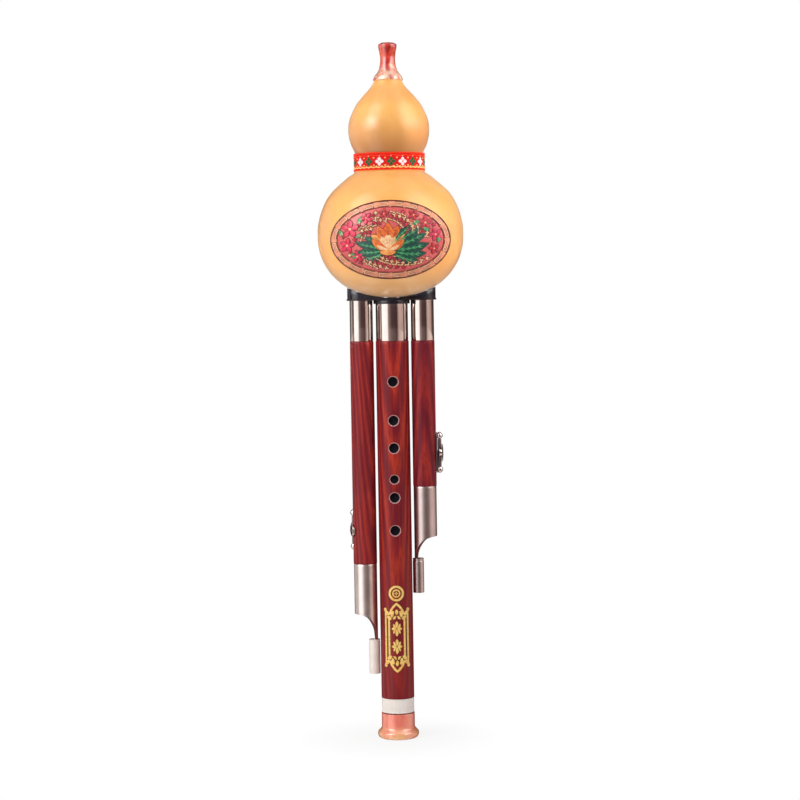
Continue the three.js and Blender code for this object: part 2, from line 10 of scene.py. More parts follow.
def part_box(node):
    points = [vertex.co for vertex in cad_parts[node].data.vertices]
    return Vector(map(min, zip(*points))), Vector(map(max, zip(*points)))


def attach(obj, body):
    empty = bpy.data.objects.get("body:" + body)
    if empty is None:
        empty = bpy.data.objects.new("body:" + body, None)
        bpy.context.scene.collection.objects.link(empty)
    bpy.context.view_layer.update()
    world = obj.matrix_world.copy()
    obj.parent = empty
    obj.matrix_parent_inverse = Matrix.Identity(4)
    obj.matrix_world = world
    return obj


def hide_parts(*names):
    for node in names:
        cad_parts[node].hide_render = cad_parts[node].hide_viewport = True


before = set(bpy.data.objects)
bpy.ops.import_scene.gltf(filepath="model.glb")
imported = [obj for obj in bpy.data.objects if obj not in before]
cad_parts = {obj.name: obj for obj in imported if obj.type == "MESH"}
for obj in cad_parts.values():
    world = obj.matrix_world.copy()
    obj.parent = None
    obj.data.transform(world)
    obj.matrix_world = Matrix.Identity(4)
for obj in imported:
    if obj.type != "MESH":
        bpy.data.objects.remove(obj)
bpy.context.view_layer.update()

mm = 0.001

# Camera, from the photograph's perspective
FRAME_PIXELS = 800
FOCAL_PIXELS = 2200
SENSOR = 36
CAMERA_DISTANCE = 1455 * mm
CAMERA_HEIGHT = 304.4 * mm
CAMERA_PITCH = math.radians(3.12)
CAMERA_YAW = math.radians(0.179)
CAMERA_ROLL = math.radians(0.93)

# Studio
LIGHT_TARGET = 0.33
GOURD_TARGET = 0.39
FLOOR_SIZE = 8
WALL_RADIUS = 1.2
WALL_LEVELS = (-1.6, 0.13, 0.42, 2.6)

# Facets and edges
ROUND = 96
FINE_ROUND = 192
SOCKET_ROUND = 64
HOLE_ROUND = 32
CORNER_STEPS = 3
SHARP_ANGLE = math.radians(38)
STRAIGHT = math.cos(math.radians(20))
WELD = 0.002 * mm
FINE_WELD = WELD / 20
METAL_EDGE = 0.22 * mm
PLASTIC_EDGE = 0.35 * mm
WOOD_EDGE = 0.3 * mm
FIT = 0.1 * mm

# Gourd, as in the frame's shell
GOURD_WALL = 3.5 * mm
GOURD_BOTTOM = 292.4 * mm
BOWL_HEIGHT = 41.1 * mm
BOWL_FULLNESS = 0.95
SHOULDER_HEIGHT = 48.25 * mm
WAIST_RADIUS = 21.8 * mm
HEAD_RADIUS = 26.6 * mm
HEAD_LOWER_HEIGHT = 22.55 * mm
HEAD_UPPER_HEIGHT = 31.1 * mm
NECK_RADIUS = 9 * mm
MOUTH_HOLE_RADIUS = 5.5 * mm
BOWL_STEPS = 40
SPLINE_STEPS = 12
GOURD_ROW = 1.2 * mm
CAP_RADIUS = 30 * mm
CAP_GRID = 2.4 * mm
SOCKET_HOLE_GAP = 0.4 * mm
shoulder_shares = [(0.985, 0.159), (0.876, 0.372), (0.66, 0.585), (0.23, 0.797), (0.085, 0.85),
                   (0.035, 0.885), (0.006, 0.935)]
head_lower_shares = [(0.13, 0.27), (0.636, 0.514), (0.93, 0.759)]
head_upper_shares = [(0.958, 0.168), (0.836, 0.339), (0.68, 0.506), (0.442, 0.674), (0.168, 0.842),
                     (0.062, 0.926)]

# Carved medallion on the belly
MEDALLION_LEVEL = 330.4 * mm
MEDALLION_WIDTH = 38.7 * mm
MEDALLION_HEIGHT = 25 * mm
CARVING_DEPTH = 0.4 * mm
CARVING_SLOPE = 0.35 * mm
WINDOW_ANGLE = math.radians(67.5)
WINDOW_MARGIN = 2 * mm
WINDOW_GUARD = 0.7 * mm

# Strokes of the pictures, in millimetres, and headings in degrees
QUARTERS = (0, 90, 180, 270)
RELIEF = 0.42
CROWN = 0.12
OUTLINE = 0.4
OUTLINE_RISE = 0.16
BRUSH_STEP = 0.9
KEY_COUNT = 20
KEY_BAND = 3.7
KEY_STROKE = 0.8
KEY_EDGE = 0.42
KEY_RISE = 0.04
BORDER_LINE = 0.36
VEIN_RISE = 0.12
FILIGREE_COUNT = 320
FILIGREE_MARGIN = 2.6

# Ribbon
RIBBON_MOTIFS = 19
RIBBON_TURN = math.radians(3)
RIBBON_THICKNESS = 0.6 * mm
RIBBON_INSET = 0.3 * mm
RIBBON_OVERLAP = 9 * mm
RIBBON_STEPS = 240
CLOTH_THICKNESS = 0.6 * RIBBON_THICKNESS
LAP_SLOPE = 0.6 * RIBBON_OVERLAP
LAP_RISE = 0.3 * mm
THREAD_RISE = 0.16
THREAD_DEPTH = 0.02
THREAD_STEP = 0.5

# Pipes and fittings, as in the frame's nodes
MAIN_BORE = 7 * mm
BELL_SEAM = 0.7 * mm
DRONE_BORE = 5 * mm
TENON = 14 * mm
TAIL_TENON_RADIUS = 9.6 * mm
FINGER_HOLE = 3.25 * mm
SMALL_HOLE = 2.8 * mm
VENT_HOLE = 2.2 * mm
HOLE_EDGE = 0.6 * mm
HOLE_GUARD = 1 * mm
WALL_ROW = 2.4 * mm
finger_hole_shares = (0.1124, 0.2203, 0.297, 0.3841, 0.4352, 0.527)
SMALL_HOLE_INDEX = 3
THUMB_HOLE_SHARE = 0.056
vent_hole_shares = (0.67, 0.733)
MAIN_FERRULE_WALL = 0.8 * mm
DRONE_FERRULE_WALL = 0.7 * mm
BASE_COLLAR = 1.4 * mm
BASE_LIP = 0.5 * mm
BASE_LIP_HEIGHT = 1 * mm
BASE_SADDLE = 2.3 * mm
BASE_GAP = 0.3 * mm
CUTAWAY_RADIUS = 15 * mm
TONGUE_DEPTH = 1 * mm
TONGUE_COLUMNS = 14
TONGUE_ROWS = 10
SLEEVE_LENGTH = 33.4 * mm
SLEEVE_COLUMNS = 84
SLEEVE_ROWS = 26
TAIL_TURN = math.radians(12)
TAIL_TUBE_WALL = 0.5 * mm

# Gold ornament, in millimetres above the floor
RING_LEVEL = 97.7
FRAME_BASE = 45.1
FRAME_CREST = 91.4
ROSETTE_LEVELS = (74.2, 62.4)

# Keys, as in the frame's nodes
key_azimuths = {"left": math.radians(138), "right": 0.0}
PAD_ANGLE = math.radians(55)
NEEDLE_RADIUS = 0.25 * mm
ROD_OFFSET = 10.1 * mm
ROD_RADIUS = 0.7 * mm
POST_SPAN = 22.4 * mm
BALL_RADIUS = 2.15 * mm
POST_FOOT_RADIUS = 1.7 * mm
BARREL_RADIUS = 1.2 * mm
PAD_RADIUS = 3.1 * mm
PAD_THICKNESS = 1.2 * mm
PAD_SEAT_DEPTH = 0.7 * mm
PAD_SEAT_RADIUS = 4 * mm
PAD_GAP = 0.3 * mm
TONE_HOLE = 2.2 * mm
CUP_WALL = 0.5 * mm
CUP_SKIRT = 0.7 * mm
ARM_WIDTH = 3 * mm
ARM_THICKNESS = 1.1 * mm
TOUCH_HEIGHT = 12 * mm
TOUCH_WIDTH = 8.5 * mm
TOUCH_THICKNESS = 1.1 * mm
TOUCH_RISE = 1.3 * mm
TOUCH_OVERHANG = 1.8 * mm
WEB_HEIGHT = 6 * mm
WEB_WIDTH = 3.4 * mm
KEY_PLATE_LENGTH = 27.2 * mm
KEY_PLATE_HALF_ANGLE = math.radians(17)
KEY_PLATE_GAP = 0.3 * mm
KEY_PLATE_THICKNESS = 0.6 * mm


# Sizes of the frame's nodes
class Node:
    """Place and size of an upright frame node"""

    def __init__(self, name):
        low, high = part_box(name)
        self.name = name
        self.low = low.z
        self.high = high.z
        self.radius = (high.x - low.x) / 2
        self.middle = (low + high) / 2
        self.origin = tuple(self.middle.xy)


shell = Node("gourd_shell")
main_tube = Node("main_pipe_tube")
ferrules = [Node(name) for name in ("main_ferrule", "left_drone_ferrule", "right_drone_ferrule")]
BELLY_RADIUS = shell.radius
BELLY_LEVEL = GOURD_BOTTOM + BOWL_HEIGHT
WAIST_LEVEL = BELLY_LEVEL + SHOULDER_HEIGHT
HEAD_LEVEL = WAIST_LEVEL + HEAD_LOWER_HEIGHT


# Meshes
class Form:
    """Vertices and faces gathered from several simple shapes, each with the number of its paint"""

    def __init__(self, *shapes):
        self.vertices = []
        self.faces = []
        self.paints = []
        for shape in shapes:
            self.add(shape)

    def add(self, shape, paint=0):
        vertices, faces = shape
        start = len(self.vertices)
        self.vertices.extend(tuple(map(float, vertex)) for vertex in vertices)
        self.faces.extend(tuple(start + int(i) for i in face) for face in faces)
        self.paints.extend([paint] * len(faces))

    def build(self, name, paints=(), weld=WELD):
        mesh = bpy.data.meshes.new(name)
        mesh.from_pydata(self.vertices, [], self.faces)
        for paint in paints:
            mesh.materials.append(materials[paint])
        mesh.polygons.foreach_set("material_index", self.paints)
        work = bmesh.new()
        work.from_mesh(mesh)
        bmesh.ops.remove_doubles(work, verts=work.verts, dist=weld)
        bmesh.ops.recalc_face_normals(work, faces=work.faces)
        work.to_mesh(mesh)
        work.free()
        smooth(mesh)
        return linked(name, mesh)


def smooth(mesh):
    mesh.polygons.foreach_set("use_smooth", [True] * len(mesh.polygons))
    mesh.set_sharp_from_angle(angle=SHARP_ANGLE)


def linked(name, data):
    obj = bpy.data.objects.new(name, data)
    bpy.context.scene.collection.objects.link(obj)
    return obj


def piece(name, form, body, slot, node, *paints, weld=WELD):
    """Object of a form or of one shape, that rides a body and stands for a frame node"""
    if isinstance(form, tuple):
        form = Form(form)
    obj = form.build(name, paints, weld)
    dress(obj, body, slot, node)
    return obj


def dress(obj, body, slot, node):
    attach(obj, body)
    if node:
        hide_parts(node)


def moved(shape, matrix):
    vertices, faces = shape
    return [matrix @ Vector(vertex) for vertex in vertices], faces


def units(vectors):
    return vectors / np.linalg.norm(vectors, axis=-1, keepdims=True)


def towards(heading):
    """Unit vector at a heading in degrees"""
    return np.array([math.cos(math.radians(heading)), math.sin(math.radians(heading))])


def lengths_along(points):
    """How far along an open line each of its points lies"""
    return np.concatenate([[0], np.cumsum(np.linalg.norm(np.diff(points, axis=0), axis=1))])


def rounded(points, radius, closed=True):
    """A profile with its corners rounded. A point may carry a radius of its own as a third value."""
    result = []
    for i, point in enumerate(points):
        here = np.array(point[:2], float)
        size = point[2] if len(point) > 2 else radius
        before, after = (np.array(points[k % len(points)][:2]) - here for k in (i - 1, i + 1))
        reaches = [np.linalg.norm(before), np.linalg.norm(after)]
        on_end = not closed and i in (0, len(points) - 1)
        if on_end or size == 0 or -before @ after > STRAIGHT * reaches[0] * reaches[1]:
            result.append(here)
            continue
        reach = min(size, min(reaches) / 2)
        for t in np.linspace(0, 1, CORNER_STEPS + 1):
            result.append(here + reach * (units(before) * (1 - t) ** 2 + units(after) * t ** 2))
    return result


def angles_round(count):
    return np.arange(count) * 2 * math.pi / count


def in_plan(angles, radius, origin=(0, 0)):
    """Places in plan at angles from the front towards +X"""
    return np.column_stack([origin[0] + radius * np.sin(angles), origin[1] - radius * np.cos(angles)])


def plan_ring(radius, sides=ROUND, origin=(0, 0)):
    return in_plan(angles_round(sides), radius, origin)


def raised(plan, height):
    return np.column_stack([plan, np.broadcast_to(height, len(plan))])


def bridged(rings, closed=False, capped=False, looped=True):
    """A skin through rings of equally many points, or through open rows of them"""
    sides = len(rings[0])
    faces = []
    for i in range(len(rings) if closed else len(rings) - 1):
        this = i * sides
        following = (i + 1) % len(rings) * sides
        for k in range(sides if looped else sides - 1):
            beside = (k + 1) % sides
            faces.append((this + k, this + beside, following + beside, following + k))
    if capped:
        last = (len(rings) - 1) * sides
        faces += [tuple(range(sides)), tuple(range(last, last + sides))]
    return np.concatenate(rings), faces


def turned(profile, origin=(0, 0), sides=ROUND, closed=True):
    """A body turned about a vertical axis from (radius, height) points"""
    return bridged([raised(plan_ring(radius, sides, origin), height) for radius, height in profile], closed)


def grid_of(across, along):
    return np.array([(a, b) for a in across for b in along])


def inside(points, outline):
    """Which 2-D points lie inside a closed outline"""
    x, y = points[:, 0], points[:, 1]
    found = np.zeros(len(points), bool)
    for (ax, ay), (bx, by) in zip(outline, np.roll(outline, -1, axis=0)):
        crosses = (ay > y) != (by > y)
        with np.errstate(divide="ignore", invalid="ignore"):
            found ^= crosses & (x < ax + (bx - ax) * (y - ay) / (by - ay))
    return found


def triangulated(points, loops, holes=(), scale=(1, 1)):
    """Triangles of 2-D points that keep the loops' edges and leave the holes open, with their middles"""
    coordinates = [Vector(point) for point in points * scale]
    edges = []
    for loop in loops:
        start = len(coordinates)
        coordinates += [Vector(point) for point in loop * scale]
        edges += [(start + i, start + (i + 1) % len(loop)) for i in range(len(loop))]
    result = delaunay_2d_cdt(coordinates, edges, [], 0, 1e-9)
    flat = np.array([tuple(vertex) for vertex in result[0]]) / scale
    faces = np.array([list(face) for face in result[2] if len(face) == 3])
    middles = flat[faces].mean(axis=1)
    solid = np.ones(len(faces), bool)
    for hole in holes:
        solid &= ~inside(middles, hole)
    return flat, faces[solid], middles[solid]


def socket_plate(rim, gap, points, guard):
    """Plan inside a rim with the three sockets left open: points, faces and the sockets' rings"""
    rings = []
    for node in ferrules:
        reach = node.radius + gap
        points = points[np.hypot(points[:, 0] - node.middle.x, points[:, 1]) > reach + guard]
        rings.append(plan_ring(reach, SOCKET_ROUND, (node.middle.x, 0)))
    flat, faces, middles = triangulated(points, [rim] + rings, rings)
    return flat, faces[inside(middles, rim)], rings


# Outline of the gourd
def curve_through(points, steps):
    """Points on a uniform Catmull-Rom curve through the given ones"""
    points = np.array(points, float)
    padded = np.vstack([points[0], points, points[-1]])
    result = []
    for i in range(len(points) - 1):
        a, b, c, d = padded[i:i + 4]
        for t in np.arange(steps) / steps:
            result.append(b + (c - a) * t / 2 + (a - 2.5 * b + 2 * c - d / 2) * t * t
                          + (1.5 * (b - c) + (d - a) / 2) * t ** 3)
    return np.array(result + [points[-1]])


def scaled(shares, low_radius, high_radius, level, height):
    """(radius, height) points from shares of the way between two radii and of a height"""
    return [(low_radius + (high_radius - low_radius) * r, level + height * h) for r, h in shares]


def gourd_outline():
    quarter = [i / BOWL_STEPS * math.pi / 2 for i in range(BOWL_STEPS)]
    bowl = [(BELLY_RADIUS * math.sin(a) ** BOWL_FULLNESS,
             BELLY_LEVEL - BOWL_HEIGHT * math.cos(a) ** BOWL_FULLNESS) for a in quarter]
    upper = [(BELLY_RADIUS, BELLY_LEVEL),
             *scaled(shoulder_shares, WAIST_RADIUS, BELLY_RADIUS, BELLY_LEVEL, SHOULDER_HEIGHT),
             (WAIST_RADIUS, WAIST_LEVEL),
             *scaled(head_lower_shares, WAIST_RADIUS, HEAD_RADIUS, WAIST_LEVEL, HEAD_LOWER_HEIGHT),
             (HEAD_RADIUS, HEAD_LEVEL),
             *scaled(head_upper_shares, NECK_RADIUS, HEAD_RADIUS, HEAD_LEVEL, HEAD_UPPER_HEIGHT),
             (NECK_RADIUS, shell.high)]
    return np.vstack([bowl, curve_through(upper, SPLINE_STEPS)])


outline = gourd_outline()


def gourd_radius(height):
    return np.interp(height, outline[:, 1], outline[:, 0])


def gourd_underside(plan):
    """Height of the bowl's surface over places in plan"""
    sine = (np.hypot(plan[:, 0], plan[:, 1]) / BELLY_RADIUS) ** (1 / BOWL_FULLNESS)
    return BELLY_LEVEL - BOWL_HEIGHT * (1 - sine ** 2) ** (BOWL_FULLNESS / 2)


# Places on curved surfaces
def gourd_point(angle, height, lift):
    """Points over the gourd's surface, at angles from the front towards +X"""
    slope = (gourd_radius(height + mm) - gourd_radius(height - mm)) / (2 * mm)
    size = np.sqrt(1 + slope ** 2)
    reach = gourd_radius(height) + lift / size
    return np.stack([reach * np.sin(angle), -reach * np.cos(angle), height - lift * slope / size], axis=-1)


def on_gourd(u, v, lift):
    """Points of the belly seen at u across and v above the medallion's middle from the front"""
    height = MEDALLION_LEVEL + v
    return gourd_point(np.arcsin(u / gourd_radius(height)), height, lift)


def on_tube(radius, level, origin=(0, 0), turn=0.0):
    """Places on an upright tube: u runs round it from the front towards +X, v up from the level"""
    def place(u, v, lift):
        return raised(in_plan(u / radius + turn, radius + lift, origin), level + v)
    return place


# Brush strokes: raised bands of any width along a path on a surface
def subdivided(path, step, closed=False):
    path = np.array(path, float)
    ends = np.vstack([path, path[:1]]) if closed else path
    result = []
    for start, end in zip(ends[:-1], ends[1:]):
        count = max(1, math.ceil(np.linalg.norm(end - start) / step))
        result += [start + (end - start) * k / count for k in range(count)]
    return np.array(result if closed else result + [path[-1]])


def brush(path, width, place, low, high, crown, step, closed=False, grow=0.0, edge=0.08 * mm):
    """A raised stroke. The width is a length, or a function of the share of the way along."""
    points = subdivided(path, step, closed)
    before = points - np.roll(points, 1, axis=0)
    after = np.roll(points, -1, axis=0) - points
    if not closed:
        before[0] = after[0]
        after[-1] = before[-1]
    before = units(before)
    after = units(after)
    along = units(before + after)
    side = np.stack([-along[:, 1], along[:, 0]], axis=1)
    mitre = 1 / np.maximum(np.sum(along * after, axis=1), 0.5)
    lengths = lengths_along(points)
    widths = [width(share) if callable(width) else width for share in lengths / lengths[-1]]
    half = np.array(widths) / 2 + grow
    if not closed:
        points[0] -= after[0] * grow
        points[-1] += before[-1] * grow
    edges = np.minimum(edge, half / 2)
    rows = []
    for sign, inset, lift in ((-1, 0, low), (-1, 0, high - edge), (-1, 1, high), (0, 0, high + crown),
                              (1, 1, high), (1, 0, high - edge), (1, 0, low)):
        flat = points + side * (sign * (half - edges * inset) * mitre)[:, None]
        rows.append(place(flat[:, 0], flat[:, 1], np.full(len(points), lift)))
    return bridged(np.stack(rows, axis=1), closed, not closed)


def circle(middle, radius, steps=28):
    return [middle + radius * towards(360 * k / steps) for k in range(steps)]


def bent(start, heading, length, bend, steps):
    """Path that leaves start at a heading and turns by bend degrees over its length"""
    path = [np.array(start, float)]
    for k in range(steps):
        path.append(path[-1] + length / steps * towards(heading + bend * (k + 0.5) / steps))
    return path


def petal_width(widest, peak, root):
    """Width of a petal or leaf along its length"""
    def width(share):
        if share < peak:
            return widest * (root + (1 - root) * math.sin(share / peak * math.pi / 2))
        return widest * max(math.cos((share - peak) / (1 - peak) * math.pi / 2), 0.03) ** 0.8
    return width


def taper(widest, tip=0.4):
    return lambda share: widest * (1 - (1 - tip) * share)


# Materials
materials = {}


def grey(value):
    return (value, value, value, 1)


def paint(tone):
    """A tone from 0 to 255 as seen, in the linear values that Blender takes. Linear ones stay."""
    if len(tone) == 4:
        return tone
    shares = [value / 255 for value in tone]
    return (*(s / 12.92 if s <= 0.04045 else ((s + 0.055) / 1.055) ** 2.4 for s in shares), 1)


class Nodes:
    """Shader nodes of a material or a world"""

    def __init__(self, owner):
        owner.use_nodes = True
        self.tree = owner.node_tree

    def feed(self, node, inputs):
        for key, value in inputs.items():
            if isinstance(value, bpy.types.NodeSocket):
                self.tree.links.new(value, node.inputs[key])
            else:
                node.inputs[key].default_value = value

    def node(self, kind, output, inputs=None, **settings):
        """Adds a node and gives one of its outputs"""
        node = self.tree.nodes.new("ShaderNode" + kind)
        for key, value in settings.items():
            setattr(node, key, value)
        self.feed(node, inputs or {})
        return node.outputs[output]

    def math(self, operation, first, second=0.5):
        return self.node("Math", 0, {0: first, 1: second}, operation=operation)

    def between(self, value, start, end, low=0.0, high=1.0):
        """Runs from low where the value is start to high where it is end"""
        inputs = {"Value": value, "From Min": start, "From Max": end, "To Min": low, "To Max": high}
        return self.node("MapRange", "Result", inputs)


class Finish(Nodes):
    """A Principled material, whose colour is laid on in steps"""

    def __init__(self, name, **sockets):
        self.name = name
        self.material = bpy.data.materials.new(name)
        super().__init__(self.material)
        self.set(**sockets)

    def set(self, **sockets):
        shader = self.tree.nodes["Principled BSDF"]
        self.feed(shader, {key.replace("_", " "): value for key, value in sockets.items()})

    def place(self, stretch=(1, 1, 1), turn=(0, 0, 0), shift=(0, 0, 0)):
        start = self.node("TexCoord", "Object")
        inputs = {"Vector": start, "Scale": stretch, "Rotation": turn, "Location": shift}
        return self.node("Mapping", "Vector", inputs)

    def axes(self):
        return self.node("SeparateXYZ", "Z", {0: self.place()}).node.outputs

    def noise(self, scale, detail=3.0, roughness=0.5, distortion=0.0, **place):
        inputs = {"Vector": self.place(**place), "Scale": scale, "Detail": detail, "Roughness": roughness,
                  "Distortion": distortion}
        return self.node("TexNoise", "Fac", inputs)

    def ramp(self, value, *stops):
        colour = self.node("ValToRGB", "Color", {"Fac": value})
        elements = colour.node.color_ramp.elements
        while len(elements) < len(stops):
            elements.new(1)
        for element, (position, tone) in zip(elements, stops):
            element.position = position
            element.color = paint(tone)
        return colour

    def mask(self, value, start, end, low=0, high=1):
        return self.ramp(value, (start, grey(low)), (end, grey(high)))

    def mix(self, share, first, second):
        second = paint(second) if isinstance(second, tuple) else second
        return self.node("Mix", 2, {0: share, 6: first, 7: second}, data_type="RGBA")

    def over(self, share, tone, strength=None):
        """Lays a tone over the colour so far"""
        if strength:
            share = self.math("MULTIPLY", share, strength)
        self.colour = self.mix(share, self.colour, tone)

    def done(self, height, strength, depth, **sockets):
        """Hands the shader its colour, and a bump from a height"""
        bump = self.node("Bump", "Normal", {"Height": height, "Strength": strength, "Distance": depth})
        self.set(Base_Color=self.colour, Normal=bump, **sockets)
        materials[self.name] = self.material

    def glow(self, colour, share=None):
        """Lets the surface shine in a colour, by a share of it where one is given"""
        surface = self.node("Emission", 0, {"Color": colour, "Strength": 1.0})
        if share:
            shaded = self.tree.nodes["Principled BSDF"].outputs[0]
            surface = self.node("MixShader", 0, {0: share, 1: shaded, 2: surface})
        self.feed(self.tree.nodes["Material Output"], {"Surface": surface})
        return self.material


def gourd_skin():
    finish = Finish("gourd", Coat_Weight=0.7, Coat_Roughness=0.2, Specular_IOR_Level=0.5, Sheen_Weight=0.3,
                    Sheen_Roughness=0.4)
    broad = finish.noise(22, 3, 0.55, 0.3, stretch=(1, 1, 0.7))
    tones = ((242, 163, 74), (250, 177, 84), (253, 191, 101))
    finish.colour = finish.ramp(broad, *zip((0.3, 0.5, 0.72), tones))
    cloud = finish.noise(60, 4, 0.6, stretch=(1.3, 1.3, 1), shift=(0.3, 0.1, 0.2))
    finish.over(0.3, finish.ramp(cloud, (0.35, (236, 150, 66)), (0.65, (252, 184, 96))))
    height = finish.axes()["Z"]
    # Paler, pinker tone towards the bottom of the bowl: partly the skin's own tone there, partly painted
    # light that brightens the bowl where the lamps reach it less.
    finish.over(finish.between(height, 318 * mm, GOURD_BOTTOM), (255, 194, 130), 0.9)
    # Painted shade: brown laid on the lower head towards the waist, where its own bulge shades it.
    under = finish.between(height, HEAD_LEVEL + 12 * mm, WAIST_LEVEL + 5 * mm)
    above = finish.math("GREATER_THAN", height, WAIST_LEVEL)
    finish.over(finish.math("MULTIPLY", under, above), (176, 114, 60), 0.95)
    finish.over(finish.mask(finish.noise(900, 2), 0.66, 0.78), (168, 104, 52), 0.26)
    finish.done(finish.noise(240, 3, 0.6), 0.1, 0.2 * mm, Roughness=finish.between(cloud, 0, 1, 0.32, 0.44))


def carved_ground():
    finish = Finish("ground", Roughness=0.5, Coat_Weight=0.4, Coat_Roughness=0.25)
    stipple = finish.node("TexVoronoi", "Distance", {"Vector": finish.place(), "Scale": 900.0})
    tones = ((160, 46, 54), (212, 82, 86), (232, 112, 108))
    finish.colour = finish.ramp(stipple, *zip((0, 0.45, 0.8), tones))
    finish.over(finish.noise(90, 2), (214, 88, 84))
    finish.done(stipple, 0.5, 0.15 * mm)


def relief_paint(name, deep, light, scale=420, roughness=0.42):
    """Brushed paint on carved wood, paler on high spots"""
    finish = Finish(name, Roughness=roughness, Coat_Weight=0.2, Coat_Roughness=0.2)
    strokes = finish.noise(scale, 3, 0.6, 0.4, stretch=(1, 1, 1.6))
    finish.colour = finish.ramp(strokes, (0.32, deep), (0.66, light))
    finish.done(strokes, 0.3, 0.1 * mm)


def plain(name, deep, light, roughness, scale=300, detail=3, strength=0.15, depth=0.05 * mm, **sockets):
    """Two tones in a fine grain"""
    finish = Finish(name, Roughness=roughness, **sockets)
    grain = finish.noise(scale, detail)
    finish.colour = finish.ramp(grain, (0.3, deep), (0.7, light))
    finish.done(grain, strength, depth)


def rosewood(name, heart, lean, *tones):
    """Lacquered red wood. The tree's heart lies beside the pipe and leans by two angles in degrees,
    so its rings cross the front as long points."""
    finish = Finish(name, Coat_Weight=0.2, Coat_Roughness=0.14, Specular_IOR_Level=0.1)
    darkest, dark, _, light = tones
    tree = finish.place(turn=(math.radians(lean[0]), math.radians(lean[1]), 0), shift=heart)
    drawn = finish.node("Mapping", "Vector", {"Vector": tree, "Scale": (1, 1, 0.05)})

    def rings(scale, distortion):
        inputs = {"Vector": drawn, "Scale": scale, "Distortion": distortion, "Detail": 4.0,
                  "Detail Scale": 1.3, "Detail Roughness": 0.62}
        return finish.node("TexWave", "Fac", inputs, wave_type="RINGS", rings_direction="Z")
    finish.colour = finish.ramp(rings(125, 5), *zip((0.05, 0.4, 0.72, 0.95), tones))
    finish.over(finish.mask(rings(620, 9), 0.02, 0.3, 0.5, 0), darkest)
    fibres = finish.noise(800, 4, 0.65, stretch=(1, 1, 0.018))
    finish.over(0.36, finish.ramp(fibres, (0.32, darkest), (0.56, dark), (0.74, light)))
    clouds = finish.noise(90, 3, 0.6, 0.3, stretch=(1, 1, 0.16), shift=(0.4, 0.2, 0.1))
    finish.over(finish.mask(clouds, 0.5, 0.68, 0, 0.55), darkest)
    finish.over(finish.between(finish.axes()["Z"], 150 * mm, 60 * mm, 0, 0.6), (130, 38, 42))
    pores = finish.noise(2400, 2, stretch=(1, 1, 0.06))
    finish.over(finish.mask(pores, 0.62, 0.76, 0, 0.45), (58, 10, 18))
    finish.done(fibres, 0.05, 0.05 * mm, Roughness=finish.between(fibres, 0, 1, 0.32, 0.48))


def marbled_resin(name, tones, pale, foot, scale, twist, shine):
    """Polished resin with swirls through four tones, and a paler tone towards the foot's second height: a
    painted highlight
    """
    finish = Finish(name, Roughness=0.24, Coat_Weight=1.0, Coat_Roughness=shine, Coat_IOR=1.75)
    veins = finish.noise(scale, 2, 0.45, twist, stretch=(1, 1, 0.55))
    finish.colour = finish.ramp(veins, *zip((0.32, 0.46, 0.58, 0.7), tones))
    near = finish.between(finish.axes()["Z"], *foot)
    cloud = finish.noise(2 * scale, 2, 0.5, 0.8, shift=(0.1, 0.2, 0.3))
    # Painted highlight: a paler tone through the swirls towards the foot.
    finish.over(finish.math("MULTIPLY", near, finish.mask(cloud, 0.4, 0.54, 0.15)), pale)
    finish.done(veins, 0.02, 0.1 * mm)


def black_plastic():
    finish = Finish("black", Coat_Weight=0.5, Coat_Roughness=0.08)
    mottle = finish.noise(160)
    finish.colour = finish.ramp(mottle, (0.3, (14, 12, 20)), (0.7, (34, 30, 44)))
    finish.done(mottle, 0.08, 0.2 * mm, Roughness=finish.between(mottle, 0, 1, 0.16, 0.3))


def metal(name, tint, roughest, smoothest, drawn=0.02, strength=0.04, metallic=1.0):
    """Plated metal with fine drawing marks along the tube"""
    finish = Finish(name, Metallic=metallic)
    marks = finish.noise(1400, 3, 0.6, stretch=(1, 1, drawn))
    cloud = finish.noise(70, 3, 0.6)
    deep = tuple(0.82 * value for value in paint(tint)[:3])
    finish.colour = finish.ramp(cloud, (0.3, (*deep, 1)), (0.7, tint))
    rough = finish.between(finish.mix(0.5, marks, cloud), 0, 1, smoothest, roughest)
    finish.done(marks, strength, 0.03 * mm, Roughness=rough)


def woven(name, deep, light):
    """Fine cloth: warp and weft as two waves across one another"""
    finish = Finish(name, Roughness=0.85, Specular_IOR_Level=0.2)
    x, y, z = finish.axes()
    warp = finish.math("SINE", finish.math("MULTIPLY", finish.math("ARCTAN2", y, x), 420))
    weft = finish.math("SINE", finish.math("MULTIPLY", z, 11000))
    weave = finish.math("ADD", finish.math("MULTIPLY", warp, weft), 1)
    tone = finish.mix(0.5, finish.math("MULTIPLY", weave, 0.5), finish.noise(700, 3, 0.6))
    finish.colour = finish.ramp(tone, (0.25, deep), (0.7, light))
    finish.done(weave, 0.5, 0.08 * mm)


